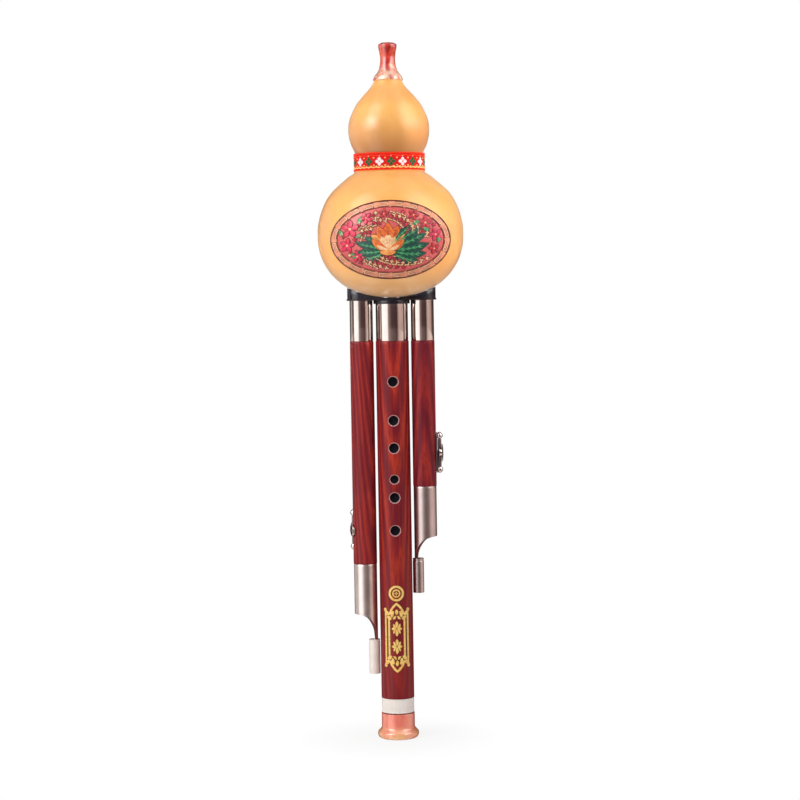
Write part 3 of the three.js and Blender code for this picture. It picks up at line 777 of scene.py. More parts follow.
def finishes():
    gourd_skin()
    carved_ground()
    black_plastic()
    # Dark brown for burnt lines, and painted shadow where it outlines the carved figures and lines the
    # carving's slope.
    for row in (("burnt", (66, 22, 20), (108, 40, 34)),
                ("umber", (114, 46, 38), (154, 74, 56))):
        plain(*row, 0.6, 500, 2, 0.3, 0.1 * mm)
    for row in (("cream", (232, 168, 118), (252, 214, 162)),
                ("border", (214, 122, 92), (236, 158, 118), 240),
                ("ivory", (246, 190, 140), (255, 216, 168), 240),
                ("orange", (206, 66, 24), (246, 132, 48)),
                ("amber", (226, 120, 52), (250, 178, 92)),
                ("green", (6, 44, 42), (14, 88, 68), 500),
                ("jade", (24, 122, 70), (84, 176, 112), 500),
                ("magenta", (196, 10, 54), (234, 40, 86)),
                ("crimson", (160, 16, 34), (208, 40, 50)),
                ("gold", (240, 164, 60), (255, 226, 134), 700, 0.3)):
        relief_paint(*row)
    # Dark brown round and behind the gold inlay: its engraved lines, and painted shadow of the relief
    # between the lines.
    for row in (("gold_line", (84, 28, 12), (124, 56, 20), 0.5),
                ("hole_wall", (98, 92, 110), (126, 120, 136), 0.6),
                ("reed_holder", (214, 198, 160), (234, 222, 190), 0.5),
                ("rubber", (22, 22, 22), (38, 38, 38), 0.8),
                ("leather", (206, 190, 150), (238, 226, 196), 0.85, 900)):
        plain(*row)
    # Pale rings on the finger holes' chamfers: a painted highlight on the bevel.
    plain("hole_rim_highlight", (176, 118, 116), (204, 150, 146), 0.4, 500, Coat_Weight=0.3)
    for row in (("nickel", (236, 222, 216), 0.12, 0.05),
                ("satin_nickel", (240, 226, 220), 0.4, 0.28),
                # Darker copy of the plating for the right drone's sleeve and tail tube: painted shade.
                ("worn_nickel", (214, 196, 192), 0.4, 0.28),
                # Paler, barely metallic copy for the left tail tube: painted light.
                ("pale_nickel", (255, 240, 230), 0.42, 0.3, 0.02, 0.04, 0.05),
                # Dark red for the sleeves' insides and cut edges: painted shade, with a painted reflection
                # of the red wood.
                ("tarnished", (118, 58, 60), 0.45, 0.3),
                # Darker, reddish copy for the key plates, rods and barrels: painted shade between key and
                # pipe, with a painted reflection of the wood.
                ("dull_nickel", (134, 112, 116), 0.45, 0.3),
                ("silver", (255, 244, 236), 0.6, 0.5, 1.0, 0.1, 0.0),
                ("steel", (120, 124, 134), 0.35, 0.2),
                ("brass", (222, 178, 96), 0.34, 0.2)):
        metal(*row)
    for row in (("red_cloth", (190, 6, 8), (244, 20, 22)),
                ("white_thread", (236, 214, 218), (255, 248, 250)),
                ("green_thread", (10, 56, 34), (34, 120, 70)),
                ("yellow_thread", (244, 170, 84), (255, 224, 140)),
                ("scarlet_thread", (226, 30, 12), (255, 70, 24))):
        woven(*row)
    red = ((150, 12, 12), (206, 40, 22), (232, 92, 58), (250, 178, 140))
    # Each resin grows paler towards its foot: a painted highlight on the mouthpiece's flange and round the
    # bell's rim.
    foot = (shell.high + 11 * mm, shell.high + 1 * mm)
    marbled_resin("mouth_resin", red, (255, 214, 180), foot, 110, 1.6, 0.05)
    pink = ((238, 112, 92), (250, 134, 108), (254, 152, 122), (255, 180, 142))
    marbled_resin("bell_resin", pink, (255, 190, 130), (9 * mm, 2 * mm), 50, 0.6, 0.26)
    for row in (("main_wood", (0.001, -0.034, 0), (2.2, 0.3),
                 (104, 24, 36), (144, 34, 36), (162, 42, 34), (198, 62, 34)),
                # The left drone's tones are set lighter than the right drone's: painted light, for the lamp
                # light falling from the left.
                ("left_wood", (0.045, -0.02, 0), (1.5, 3.5),
                 (112, 28, 38), (146, 38, 40), (164, 46, 44), (186, 60, 44)),
                ("right_wood", (-0.022, -0.026, 0), (-3, 0.6),
                 (96, 22, 38), (132, 32, 38), (148, 38, 38), (174, 50, 40))):
        rosewood(*row)


# Gourd
def on_bowl(plan, lift):
    return raised(plan, gourd_underside(plan) + lift)


def gourd_cap(form):
    """Bottom of the gourd, outside and inside, with the walls of its three holes"""
    steps = np.arange(-CAP_RADIUS, CAP_RADIUS, CAP_GRID)
    points = grid_of(steps, steps)
    points = points[np.hypot(points[:, 0], points[:, 1]) < CAP_RADIUS - CAP_GRID / 2]
    rim = plan_ring(CAP_RADIUS, FINE_ROUND)
    flat, faces, rings = socket_plate(rim, SOCKET_HOLE_GAP, points, CAP_GRID / 2)
    for lift in (0, GOURD_WALL):
        form.add((on_bowl(flat, lift), faces))
    for ring in rings:
        form.add(bridged([on_bowl(ring, 0), on_bowl(ring, GOURD_WALL)]))


def gourd_rows(rim):
    """Heights of the mesh's rows from the cap's rim to the neck, evenly spaced along the outline"""
    points = np.vstack([[CAP_RADIUS, rim], outline[outline[:, 1] > rim]])
    lengths = lengths_along(points)
    even = np.linspace(0, lengths[-1], math.ceil(lengths[-1] / GOURD_ROW) + 1)
    return np.interp(even, lengths, points[:, 1])


def medallion_edge(grow, steps=220):
    """Ring round the medallion, seen from the front, as angle and height on the gourd"""
    t = angles_round(steps)
    u = (MEDALLION_WIDTH + grow) * np.cos(t)
    height = MEDALLION_LEVEL + (MEDALLION_HEIGHT + grow) * np.sin(t)
    return np.column_stack([np.arcsin(u / gourd_radius(height)), height])


def carved_window(form, columns, rows):
    """Front of the belly, triangulated round the medallion, with its ground sunk"""
    outer = medallion_edge(CARVING_SLOPE)
    inner = medallion_edge(0)
    points = grid_of(columns, rows)
    clear = ~inside(points, medallion_edge(CARVING_SLOPE + WINDOW_GUARD))
    clear |= inside(points, medallion_edge(-WINDOW_GUARD))
    flat, faces, middles = triangulated(points[clear], [outer, inner], scale=np.array([BELLY_RADIUS, 1]))
    ground = inside(middles, inner)
    slope = inside(middles, outer) & ~ground
    sunk = inside(flat, medallion_edge(0.02 * mm))
    points = gourd_point(flat[:, 0], flat[:, 1], np.where(sunk, -CARVING_DEPTH, 0))
    # The slope round the sunk ground is painted dark brown: painted shade in the recess.
    for number, chosen in enumerate((~ground & ~slope, ground, slope)):
        form.add((points, faces[chosen]), number)


def gourd_lining(rim, rows):
    """Inner wall up to the mouth hole, and the neck's top"""
    lining = [(CAP_RADIUS, rim + GOURD_WALL)]
    for height in rows[4::2]:
        _, y, z = gourd_point(0.0, height, -GOURD_WALL)
        if lining[-1][1] + GOURD_WALL / 4 < z < shell.high - GOURD_WALL:
            lining.append((max(-y, MOUTH_HOLE_RADIUS), z))
    lining += [(MOUTH_HOLE_RADIUS, shell.high - METAL_EDGE), (MOUTH_HOLE_RADIUS + METAL_EDGE, shell.high),
               (NECK_RADIUS, shell.high)]
    return turned(lining, sides=FINE_ROUND, closed=False)


def gourd_shell():
    rim = gourd_underside(np.array([[CAP_RADIUS, 0]]))[0]
    rows = gourd_rows(rim)
    low = np.searchsorted(rows, MEDALLION_LEVEL - MEDALLION_HEIGHT - WINDOW_MARGIN) - 1
    high = np.searchsorted(rows, MEDALLION_LEVEL + MEDALLION_HEIGHT + WINDOW_MARGIN)
    step = 2 * math.pi / FINE_ROUND
    window = round(WINDOW_ANGLE / step)
    angles = np.arange(FINE_ROUND) * step
    points, faces = bridged([gourd_point(angles, np.full(FINE_ROUND, height), 0.0) for height in rows])
    around = [face for i, face in enumerate(faces) if not low <= i // FINE_ROUND < high
              or window <= i % FINE_ROUND < FINE_ROUND - window]
    form = Form((points, around))
    carved_window(form, np.arange(-window, window + 1) * step, rows[low:high + 1])
    gourd_cap(form)
    form.add(gourd_lining(rim, rows))
    piece("gourd", form, "gourd", "gourd_skin", "gourd_shell", "gourd", "ground", "burnt")


# Pictures made of strokes, each over a wider, lower one in a shade of its own
class Picture:
    """Strokes on one surface, in millimetres, gathered by colour"""

    def __init__(self, place, low, high, crown, step=BRUSH_STEP, shade=None, outline=0.0, outline_rise=0.0):
        self.place = place
        self.low = low
        self.high = high
        self.crown = crown
        self.step = step
        self.shade = shade
        self.outline = outline
        self.outline_rise = outline_rise
        self.forms = {}

    def line(self, colour, path, width, lift=0.0, closed=False, shaded=False, step=None):
        """A stroke without its shade, or the shade alone"""
        size = (lambda share: width(share) * mm) if callable(width) else width * mm
        high = self.low + self.outline_rise + lift if shaded else self.high + lift
        crown, grow = (0, self.outline) if shaded else (self.crown, 0)
        shape = brush(np.array(path) * mm, size, self.place, self.low * mm, high * mm, crown * mm,
                      (step or self.step) * mm, closed, grow * mm)
        self.forms.setdefault(colour, Form()).add(shape)

    def stroke(self, colour, path, width, lift=0.0, closed=False):
        if self.shade:
            self.line(self.shade, path, width, lift, closed, True)
        self.line(colour, path, width, lift, closed)

    def petal(self, colour, start, heading, length, bend, steps, widest, peak, root, lift=0.0):
        """A bent stroke that is widest at the peak share of its length"""
        path = bent(start, heading, length, bend, steps)
        self.stroke(colour, path, petal_width(widest, peak, root), lift)

    def flower(self, colour, middle, start, headings, *petal):
        """Petals at several headings, that start a little way from the middle"""
        for heading in headings:
            self.petal(colour, middle + start * towards(heading), heading, *petal)

    def build(self, name, body, slot):
        return [piece(f"{name}_{colour}", form, body, slot, None, colour, weld=FINE_WELD)
                for colour, form in self.forms.items()]


def key_border(picture):
    """Tan band with a thin running key, between the medallion's edge and its picture"""
    size = np.array([MEDALLION_WIDTH, MEDALLION_HEIGHT]) / mm - KEY_BAND / 2 - BORDER_LINE
    t = np.linspace(0, 2 * math.pi, 721)
    lengths = lengths_along(size * np.column_stack([np.sin(t), np.cos(t)]))
    unit = lengths[-1] / KEY_COUNT

    def at(along, across):
        angle = np.interp(along % lengths[-1], lengths, t)
        direction = np.array([math.sin(angle), math.cos(angle)])
        return direction * size + units(direction / size) * across

    def band(across, steps=260):
        return [at(lengths[-1] * k / steps, across) for k in range(steps)]
    picture.line("border", band(0), KEY_BAND, closed=True)
    for across in (-0.5, 0.5):
        picture.line("umber", band(KEY_BAND * across), BORDER_LINE, KEY_RISE, True)
    key_shares = [(0.1, 0.24), (0.82, 0.24), (0.82, 0.76), (0.34, 0.76)]
    for i in range(KEY_COUNT):
        corners = [(unit * (i + a), KEY_BAND * (b - 0.5)) for a, b in key_shares]
        path = [at(*corner) for corner in subdivided(corners, BRUSH_STEP)]
        picture.line("umber", path, KEY_STROKE + 2 * KEY_EDGE, KEY_RISE)
        picture.line("ivory", path, KEY_STROKE, 2 * KEY_RISE)


def blossom(picture, middle, size, colour, turn):
    headings = [turn + 72 * k for k in range(5)]
    picture.flower(colour, middle, 0.12 * size, headings, size, 14, 8, size * 0.62, 0.6, 0.3)
    picture.petal("cream", middle - [size * 0.16, 0], 0, size * 0.32, 0, 6, size * 0.34, 0.5, 0.4, 0.1)


def leaf(picture, start, heading, length, width, bend, colour="green", veined=True):
    path = bent(start, heading, length, bend, 12)
    picture.stroke(colour, path, petal_width(width, 0.45, 0.2))
    if veined:
        picture.line("jade", path[1:-2], taper(width * 0.18), VEIN_RISE)
        for k in range(2, 10, 2):
            for hand in (-1, 1):
                rib = bent(path[k], heading + bend * k / 12 + hand * 42, width * 0.36, -hand * 30, 4)
                picture.line("jade", rib, taper(width * 0.12), VEIN_RISE)


def filigree(picture, clear):
    """Small buds over the ground, wherever nothing larger lies"""
    size = np.array([MEDALLION_WIDTH, MEDALLION_HEIGHT]) / mm - KEY_BAND - FILIGREE_MARGIN
    golden = math.degrees(math.pi * (3 - math.sqrt(5)))
    bud_kinds = (("cream", 4, 1.25, 0.85), ("cream", 2, 1.7, 0.85), ("crimson", 3, 1.3, 0.95),
                 ("cream", 3, 1.5, 0.8), ("cream", 2, 1.9, 0.8), ("magenta", 5, 1.2, 0.7))
    for k in range(FILIGREE_COUNT):
        place = size * math.sqrt((k + 0.5) / FILIGREE_COUNT) * towards(k * golden)
        if any(np.linalg.norm((place - middle) / reach) < 1 for middle, reach in clear):
            continue
        colour, petals, length, breadth = bud_kinds[k % len(bud_kinds)]
        headings = [k * golden + 70 + 360 * petal / petals for petal in range(petals)]
        picture.flower(colour, place, 0, headings, length, 16, 4, breadth, 0.6, 0.3)


def lotus(picture, heart):
    """The flower, its back petals first"""
    for heading, length, width, colour in ((90, 17.5, 6.6, "orange"), (66, 16.5, 6, "orange"),
                                           (114, 16.5, 6, "orange"), (42, 14.5, 5.2, "amber"),
                                           (138, 14.5, 5.2, "amber")):
        path = bent(heart, heading, length, 0, 12)
        picture.stroke(colour, path, petal_width(width, 0.62, 0.35))
        for side in (-1, 0, 1):
            vein = bent(path[6], heading + 16 * side, 0.34 * length, -20 * side, 5)
            picture.line("burnt", vein, taper(0.32), VEIN_RISE)
    for heading, bend in ((78, 16), (102, -16), (54, 20), (126, -20)):
        path = bent(heart, heading, 9.6, bend, 10)
        picture.stroke("cream", path, petal_width(4.2, 0.55, 0.4), 0.14)
        picture.line("umber", path[4:-2], taper(0.35), VEIN_RISE + 0.14)
    for side in (-1, 1):
        start = heart + [side * 0.5, 0]
        picture.petal("orange", start, 90 - side * 72, 12, side * 34, 12, 4.6, 0.5, 0.4, 0.2)
        picture.petal("cream", start, 90 - side * 80, 7.5, side * 30, 8, 2.2, 0.5, 0.4, 0.3)
    picture.petal("amber", heart - [5, 1.6], 0, 10, 0, 10, 3.8, 0.5, 0.4, 0.3)


def medallion():
    """Lotus among leaves, blossoms and small buds"""
    # The figures' wider dark brown outlines are partly burnt line work, partly painted shadow at the
    # relief's edges.
    picture = Picture(on_gourd, -CARVING_DEPTH / mm, RELIEF - CARVING_DEPTH / mm, CROWN, shade="burnt",
                      outline=OUTLINE, outline_rise=OUTLINE_RISE)
    key_border(picture)
    heart = np.array([-1.5, -6.5])
    blossoms = ((-26, 7, 5.2, "magenta"), (-28, -3.5, 4.2, "magenta"), (-21.5, -10.5, 3.4, "magenta"),
                (22.5, 10.5, 4.2, "crimson"), (29, 3, 3.8, "magenta"), (28, -6, 3.2, "crimson"),
                (15, 15.5, 3, "crimson"), (-15.5, 14, 3.6, "magenta"), (-4, 16.5, 2.8, "crimson"))
    clear = [(heart + [0, 7], (12.5, 11)), ((14, -5), (13, 9)), ((-15.5, -5.5), (10, 6.5))]
    clear += [((x, y), (size + 1, size + 1)) for x, y, size, _ in blossoms]
    filigree(picture, clear)
    for heading, length, width, bend in ((-34, 16, 6, 34), (52, 17, 5, -16), (-16, 20, 6.4, 26),
                                         (38, 21, 5.6, -14), (0, 22, 6.6, 20), (20, 22.5, 6.4, 6),
                                         (212, 12.5, 5.2, -34), (148, 13, 4.6, 12), (192, 16, 5.8, -22),
                                         (170, 17, 5.4, -8)):
        leaf(picture, heart + 4.5 * towards(heading), heading, length, width, bend)
    lotus(picture, heart)
    for x, y, size, colour in blossoms:
        blossom(picture, np.array([x, y]), size, colour, 18 + 3 * x)
    for x, y, heading in ((-20.5, 10.5, 60), (-22.5, 1.5, 20), (-31, 2.5, 110), (18.5, 11.5, 200),
                          (-25, -8.5, -60), (30.5, -2, 70), (25, 5.5, 150)):
        leaf(picture, (x, y), heading, 4.6, 2.4, 20, "jade", False)
    picture.build("medallion", "gourd", "gourd_skin")


# Ribbon round the waist
def ribbon_thread(path, width, place):
    """A thread right round the ribbon, in millimetres"""
    rows = []
    for across, lift in ((-0.5, -THREAD_DEPTH), (-0.42, THREAD_RISE), (0, THREAD_RISE + 0.04),
                         (0.42, THREAD_RISE), (0.5, -THREAD_DEPTH)):
        v = path[:, 1] + across * width
        rows.append(place(path[:, 0] * mm, v * mm, lift * mm))
    return bridged(rows, True)


def ribbon_pattern(place, around):
    """Four-petal motifs in a row, dots between them and threads along the edges"""
    picture = Picture(place, -THREAD_DEPTH, THREAD_RISE, 0.05, THREAD_STEP)
    pitch = around / RIBBON_MOTIFS
    for number in range(-(RIBBON_MOTIFS // 2), RIBBON_MOTIFS - RIBBON_MOTIFS // 2):
        middle = np.array([number * pitch, -0.3])
        colour = "white_thread" if number % 2 else "green_thread"
        picture.flower(colour, middle, 0.3, QUARTERS, 2.6, 0, 6, 2.3, 0.5, 0.12)
        for shift, rise, size in ((0.5, -2.4, 1.3), (0.5, 2.4, 1.2), (0, 3.7, 0.8), (0.24, -3.1, 0.9),
                                  (-0.24, -3.1, 0.9)):
            start = middle + [shift * pitch - size / 2, rise]
            picture.petal("yellow_thread", start, 0, size, 0, 4, 0.9, 0.5, 0.4)
    shares = np.arange(RIBBON_STEPS) / RIBBON_STEPS
    for colour, level, depth, waves, width in (("yellow_thread", -3.95, 0.22, 40, 0.8),
                                               ("scarlet_thread", -5.3, 0, 0, 0.8),
                                               ("scarlet_thread", 5.3, 0, 0, 0.9),
                                               ("scarlet_thread", 3.6, 0.2, 20, 0.7)):
        path = np.column_stack([around * shares, level + depth * np.sin(2 * math.pi * waves * shares)])
        picture.forms.setdefault(colour, Form()).add(ribbon_thread(path, width, place))
    return picture.build("ribbon", "gourd", "ribbon_weave")


def waist_ribbon():
    node = Node("waist_ribbon")
    radius = node.radius - RIBBON_THICKNESS - THREAD_RISE / 2 * mm
    half = (node.high - node.low) / 2
    length = 2 * math.pi * radius + RIBBON_OVERLAP
    seam = math.pi - RIBBON_OVERLAP / 2 / radius
    along = np.linspace(0, length, RIBBON_STEPS + 1)
    angle = seam + along / radius
    lap = np.clip((along - length + RIBBON_OVERLAP + LAP_SLOPE) / LAP_SLOPE, 0, 1)
    wave = 0.16 * mm * np.sin(angle * 5 + 0.6) + 0.1 * mm * np.sin(angle * 9)
    rows = []
    for across, lift in ((-1, 0), (-1, 0.5), (-0.94, 0.62), (-0.5, 0.5), (0, 0.5), (0.5, 0.5), (0.94, 0.62),
                         (1, 0.5), (1, 0), (0, 0)):
        reach = radius + lap * LAP_RISE + lift * CLOTH_THICKNESS
        z = node.middle.z + across * (half - RIBBON_INSET) + wave * (0.5 if across < 0 else 1)
        rows.append(raised(in_plan(angle, reach), z))
    cloth = bridged(np.stack(rows, axis=1), capped=True)
    ribbon = piece("ribbon", cloth, "gourd", "ribbon_weave", "waist_ribbon", "red_cloth", weld=FINE_WELD)
    surface = radius + CLOTH_THICKNESS / 2
    even = on_tube(surface, node.middle.z, turn=RIBBON_TURN)

    def place(u, v, lift):
        past = ((u / surface + RIBBON_TURN - seam) * radius + LAP_SLOPE) % (2 * math.pi * radius)
        climb = np.where(past < RIBBON_OVERLAP + LAP_SLOPE, np.minimum(1, past / LAP_SLOPE), 0)
        return even(u, v, lift + climb * LAP_RISE)
    pieces = ribbon_pattern(place, 2 * math.pi * surface / mm)


# Turned pieces
def lathe(node, name, profile, edge, body, slot, paint_name, sides=ROUND):
    """Piece turned round the axis of the frame node that it stands for"""
    shape = turned(rounded(profile, edge), node.origin, sides)
    piece(name, shape, body, slot, node.name, paint_name)


def mouthpiece():
    node = Node("mouthpiece")
    seat = shell.high
    height = node.high - seat
    throat = 4.9 * mm
    lip = 6 * mm
    crown = 4 * mm
    tenon = 5.4 * mm
    hole = 2 * mm
    hole_rim_highlight = 0.5 * mm
    flange_shares = [(1, 0.028), (0.93, 0.07), (0.8, 0.12), (0.38, 0.23), (0.15, 0.34), (0.04, 0.45),
                     (0, 0.6)]
    lip_shares = [(0.4, 0.735), (0.92, 0.86), (1, 0.9), (0.9, 0.955)]
    points = scaled(flange_shares, throat, node.radius, seat, height)
    points += scaled(lip_shares, throat, lip, seat, height) + [(crown, node.high)]
    profile = [(hole, node.low), (tenon, node.low), (tenon, seat + FIT), (node.radius, seat + FIT),
               *curve_through(points, 6), (hole + hole_rim_highlight, node.high), (hole, node.high - hole_rim_highlight)]
    lathe(node, "mouthpiece_fine", profile, METAL_EDGE, "gourd", "marbled_resin", "mouth_resin")


def bell():
    """Flared end with a dark line where it meets the ring: a glue joint in a groove, its dark brown partly
    painted shade of the gap
    """
    node = Node("main_bell")
    high = node.high
    neck = 11 * mm
    foot = 11.8 * mm
    flare = 7.8 * mm
    mouth = 9.6 * mm
    mouth_edge = 0.4 * mm
    socket = 9.7 * mm
    ledge = 6 * mm
    shares = [(0.7, 0.083), (0.94, 0.24), (1, 0.4), (0.9, 0.53), (0.63, 0.64), (0.28, 0.77), (0.06, 0.89),
              (0, 1)]
    curve = curve_through([(foot, 0), *scaled(shares, neck, node.radius, 0, flare)], 6)
    seam = neck - BELL_SEAM
    profile = [(mouth + mouth_edge, 0), *curve, (neck, high - BELL_SEAM), (seam, high - 0.9 * BELL_SEAM),
               (seam, high), (socket, high), (socket, high - ledge), (MAIN_BORE, high - ledge),
               (MAIN_BORE, ledge), (mouth, mouth_edge)]
    form = Form(turned(rounded(profile, PLASTIC_EDGE)))
    # Ring of dark brown in the groove: the glue joint, and painted shade in the gap.
    inner = seam - 0.2 * mm
    outer = neck - 0.3 * BELL_SEAM
    form.add(turned(tube_profile(inner, outer, high - BELL_SEAM, high)), 1)
    piece("bell", form, "main_pipe", "marbled_resin", "main_bell", "bell_resin", "umber")


def tail_ring():
    node = Node("main_tail_ring")
    low, high, radius = node.low, node.high, node.radius
    bore = radius - 1.2 * mm
    bead = 0.7 * mm
    sink = 0.16 * mm
    profile = [(bore, low), (radius, low), (radius, low + bead), (radius - sink, low + bead + sink),
               (radius - sink, high - bead - sink), (radius, high - bead), (radius, high), (bore, high)]
    lathe(node, "tail_ring", profile, METAL_EDGE, "main_pipe", "silver_band", "silver")


def tube_profile(bore, radius, low, high):
    """Profile of a plain tube"""
    return [(bore, low), (radius, low), (radius, high), (bore, high)]


def ferrule(node, body, wall):
    profile = tube_profile(node.radius - wall, node.radius, node.low, node.high)
    lathe(node, node.name + "_fine", profile, METAL_EDGE, body, "nickel", "nickel", FINE_ROUND)


def tail_tube(side):
    node = Node(f"{side}_drone_tail_tube")
    low, high, radius = node.low, node.high, node.radius
    bore = radius - TAIL_TUBE_WALL
    bead = 0.8 * mm
    groove = 0.18 * mm
    profile = [(bore, low), (radius, low), (radius, high - 2.2 * bead), (radius - groove, high - 2 * bead),
               (radius - groove, high - bead), (radius, high - bead + groove), (radius, high), (bore, high)]
    # The left tail tube takes the lighter copy of the plating, painted light; the right one takes the
    # darker copy, painted shade.
    metal_name = "pale_nickel" if side == "left" else "worn_nickel"
    body = f"{side}_drone"
    lathe(node, f"{side}_tail", profile, METAL_EDGE / 2, body, "nickel", metal_name, SOCKET_ROUND)


# Wooden pipes
def drilled_wall(radius, low, high, holes, origin):
    """Round wall with openings; a hole is (direction, height, size at this wall)"""
    start = -math.pi / 2
    columns = start + np.arange(ROUND + 1) * 2 * math.pi / ROUND
    points = grid_of(columns, np.linspace(low, high, math.ceil((high - low) / WALL_ROW) + 1))
    t = angles_round(HOLE_ROUND)
    loops = []
    for direction, height, size in holes:
        turn = (points[:, 0] - direction + math.pi) % (2 * math.pi) - math.pi
        points = points[np.hypot(turn * radius, points[:, 1] - height) > size + HOLE_GUARD / 2]
        base = (direction - start) % (2 * math.pi) + start
        for reach in (size, size + HOLE_GUARD):
            angle = base + np.arcsin(reach * np.cos(t) / radius)
            loops.append(np.column_stack([angle, height + reach * np.sin(t)]))
    flat, faces, _ = triangulated(points, loops, loops[::2], np.array([radius, 1]))
    return raised(in_plan(flat[:, 0], radius, origin), flat[:, 1]), faces


def wooden_pipe(node, side, bore, tenons, holes):
    """A pipe with tenons. A hole is (direction, height, size, seat radius or None)."""
    origin = (node.origin[0], 0)
    radius = node.radius
    low = node.low + tenons[0][1]
    high = node.high - tenons[1][1]
    outer = [(d, h, (seat or size) + HOLE_EDGE / (2 if seat else 1)) for d, h, size, seat in holes]
    form = Form(drilled_wall(radius, low + WOOD_EDGE, high - WOOD_EDGE, outer, origin))
    form.add(drilled_wall(bore, node.low, node.high, [hole[:3] for hole in holes], origin), 2)
    t = angles_round(HOLE_ROUND)
    for direction, height, size, seat in holes:
        def ring(wall, reach, depth=0.0, plane=math.inf):
            """Ring of the hole, at a depth under a round wall or on a flat"""
            aside = reach * np.cos(t)
            out = np.minimum(np.sqrt(wall ** 2 - aside ** 2), plane) - depth
            sine, cosine = math.sin(direction), math.cos(direction)
            plan = np.outer(aside, [cosine, sine]) + np.outer(out, [sine, -cosine]) + origin
            return raised(plan, height + reach * np.sin(t))
        if seat:
            plane = radius - PAD_SEAT_DEPTH
            rings = [ring(radius, seat + HOLE_EDGE / 2)]
            for share in (1, 0.66, 0.33, 0.1):
                rings.append(ring(radius, size + (seat - size) * share, 0, plane))
            rings.append(ring(radius, size, HOLE_EDGE / 3, plane))
        else:
            rings = [ring(radius, size + out * HOLE_EDGE, down * HOLE_EDGE)
                     for out, down in ((1, 0), (0.5, 0.22), (0.14, 0.6), (0, 1.1))]
        # The finger holes' chamfers take the pale painted highlight; the pad seats stay wood.
        form.add(bridged(rings), 0 if seat else 1)
        form.add(bridged([rings[-1], ring(bore, size)]), 2)
    for end, face, tenon, sign in ((node.low, low, tenons[0][0], -1), (node.high, high, tenons[1][0], 1)):
        profile = [(radius, face - sign * WOOD_EDGE),
                   (radius - 0.3 * WOOD_EDGE, face - sign * 0.3 * WOOD_EDGE),
                   (radius - WOOD_EDGE, face), (tenon, face), (tenon, end), (bore, end)]
        form.add(turned(profile, origin, closed=False))
    body = "main_pipe" if side == "main" else f"{side}_drone"
    piece(f"{side}_wood", form, body, "rosewood", node.name, f"{side}_wood", "hole_rim_highlight", "hole_wall")


def main_pipe():
    high = main_tube.high - TENON
    low = Node("main_tail_ring").high + FIT
    length = high - low
    holes = [(0.0, high - length * share, SMALL_HOLE if i == SMALL_HOLE_INDEX else FINGER_HOLE, None)
             for i, share in enumerate(finger_hole_shares)]
    holes.append((math.pi, high - length * THUMB_HOLE_SHARE, FINGER_HOLE, None))
    holes += [(math.pi, high - length * share, VENT_HOLE, None) for share in vent_hole_shares]
    top_tenon = (ferrules[0].radius - MAIN_FERRULE_WALL - FIT, TENON)
    wooden_pipe(main_tube, "main", MAIN_BORE, ((TAIL_TENON_RADIUS, low - main_tube.low), top_tenon), holes)


def drone_pipe(side):
    node = Node(f"{side}_drone_tube")
    tenon = (Node(f"{side}_drone_ferrule").radius - DRONE_FERRULE_WALL - FIT, TENON)
    direction = key_azimuths[side] + PAD_ANGLE + math.pi / 2
    hole = (direction, Node(f"{side}_key_rod").middle.z, TONE_HOLE, PAD_SEAT_RADIUS)
    wooden_pipe(node, side, DRONE_BORE, (tenon, tenon), [hole])


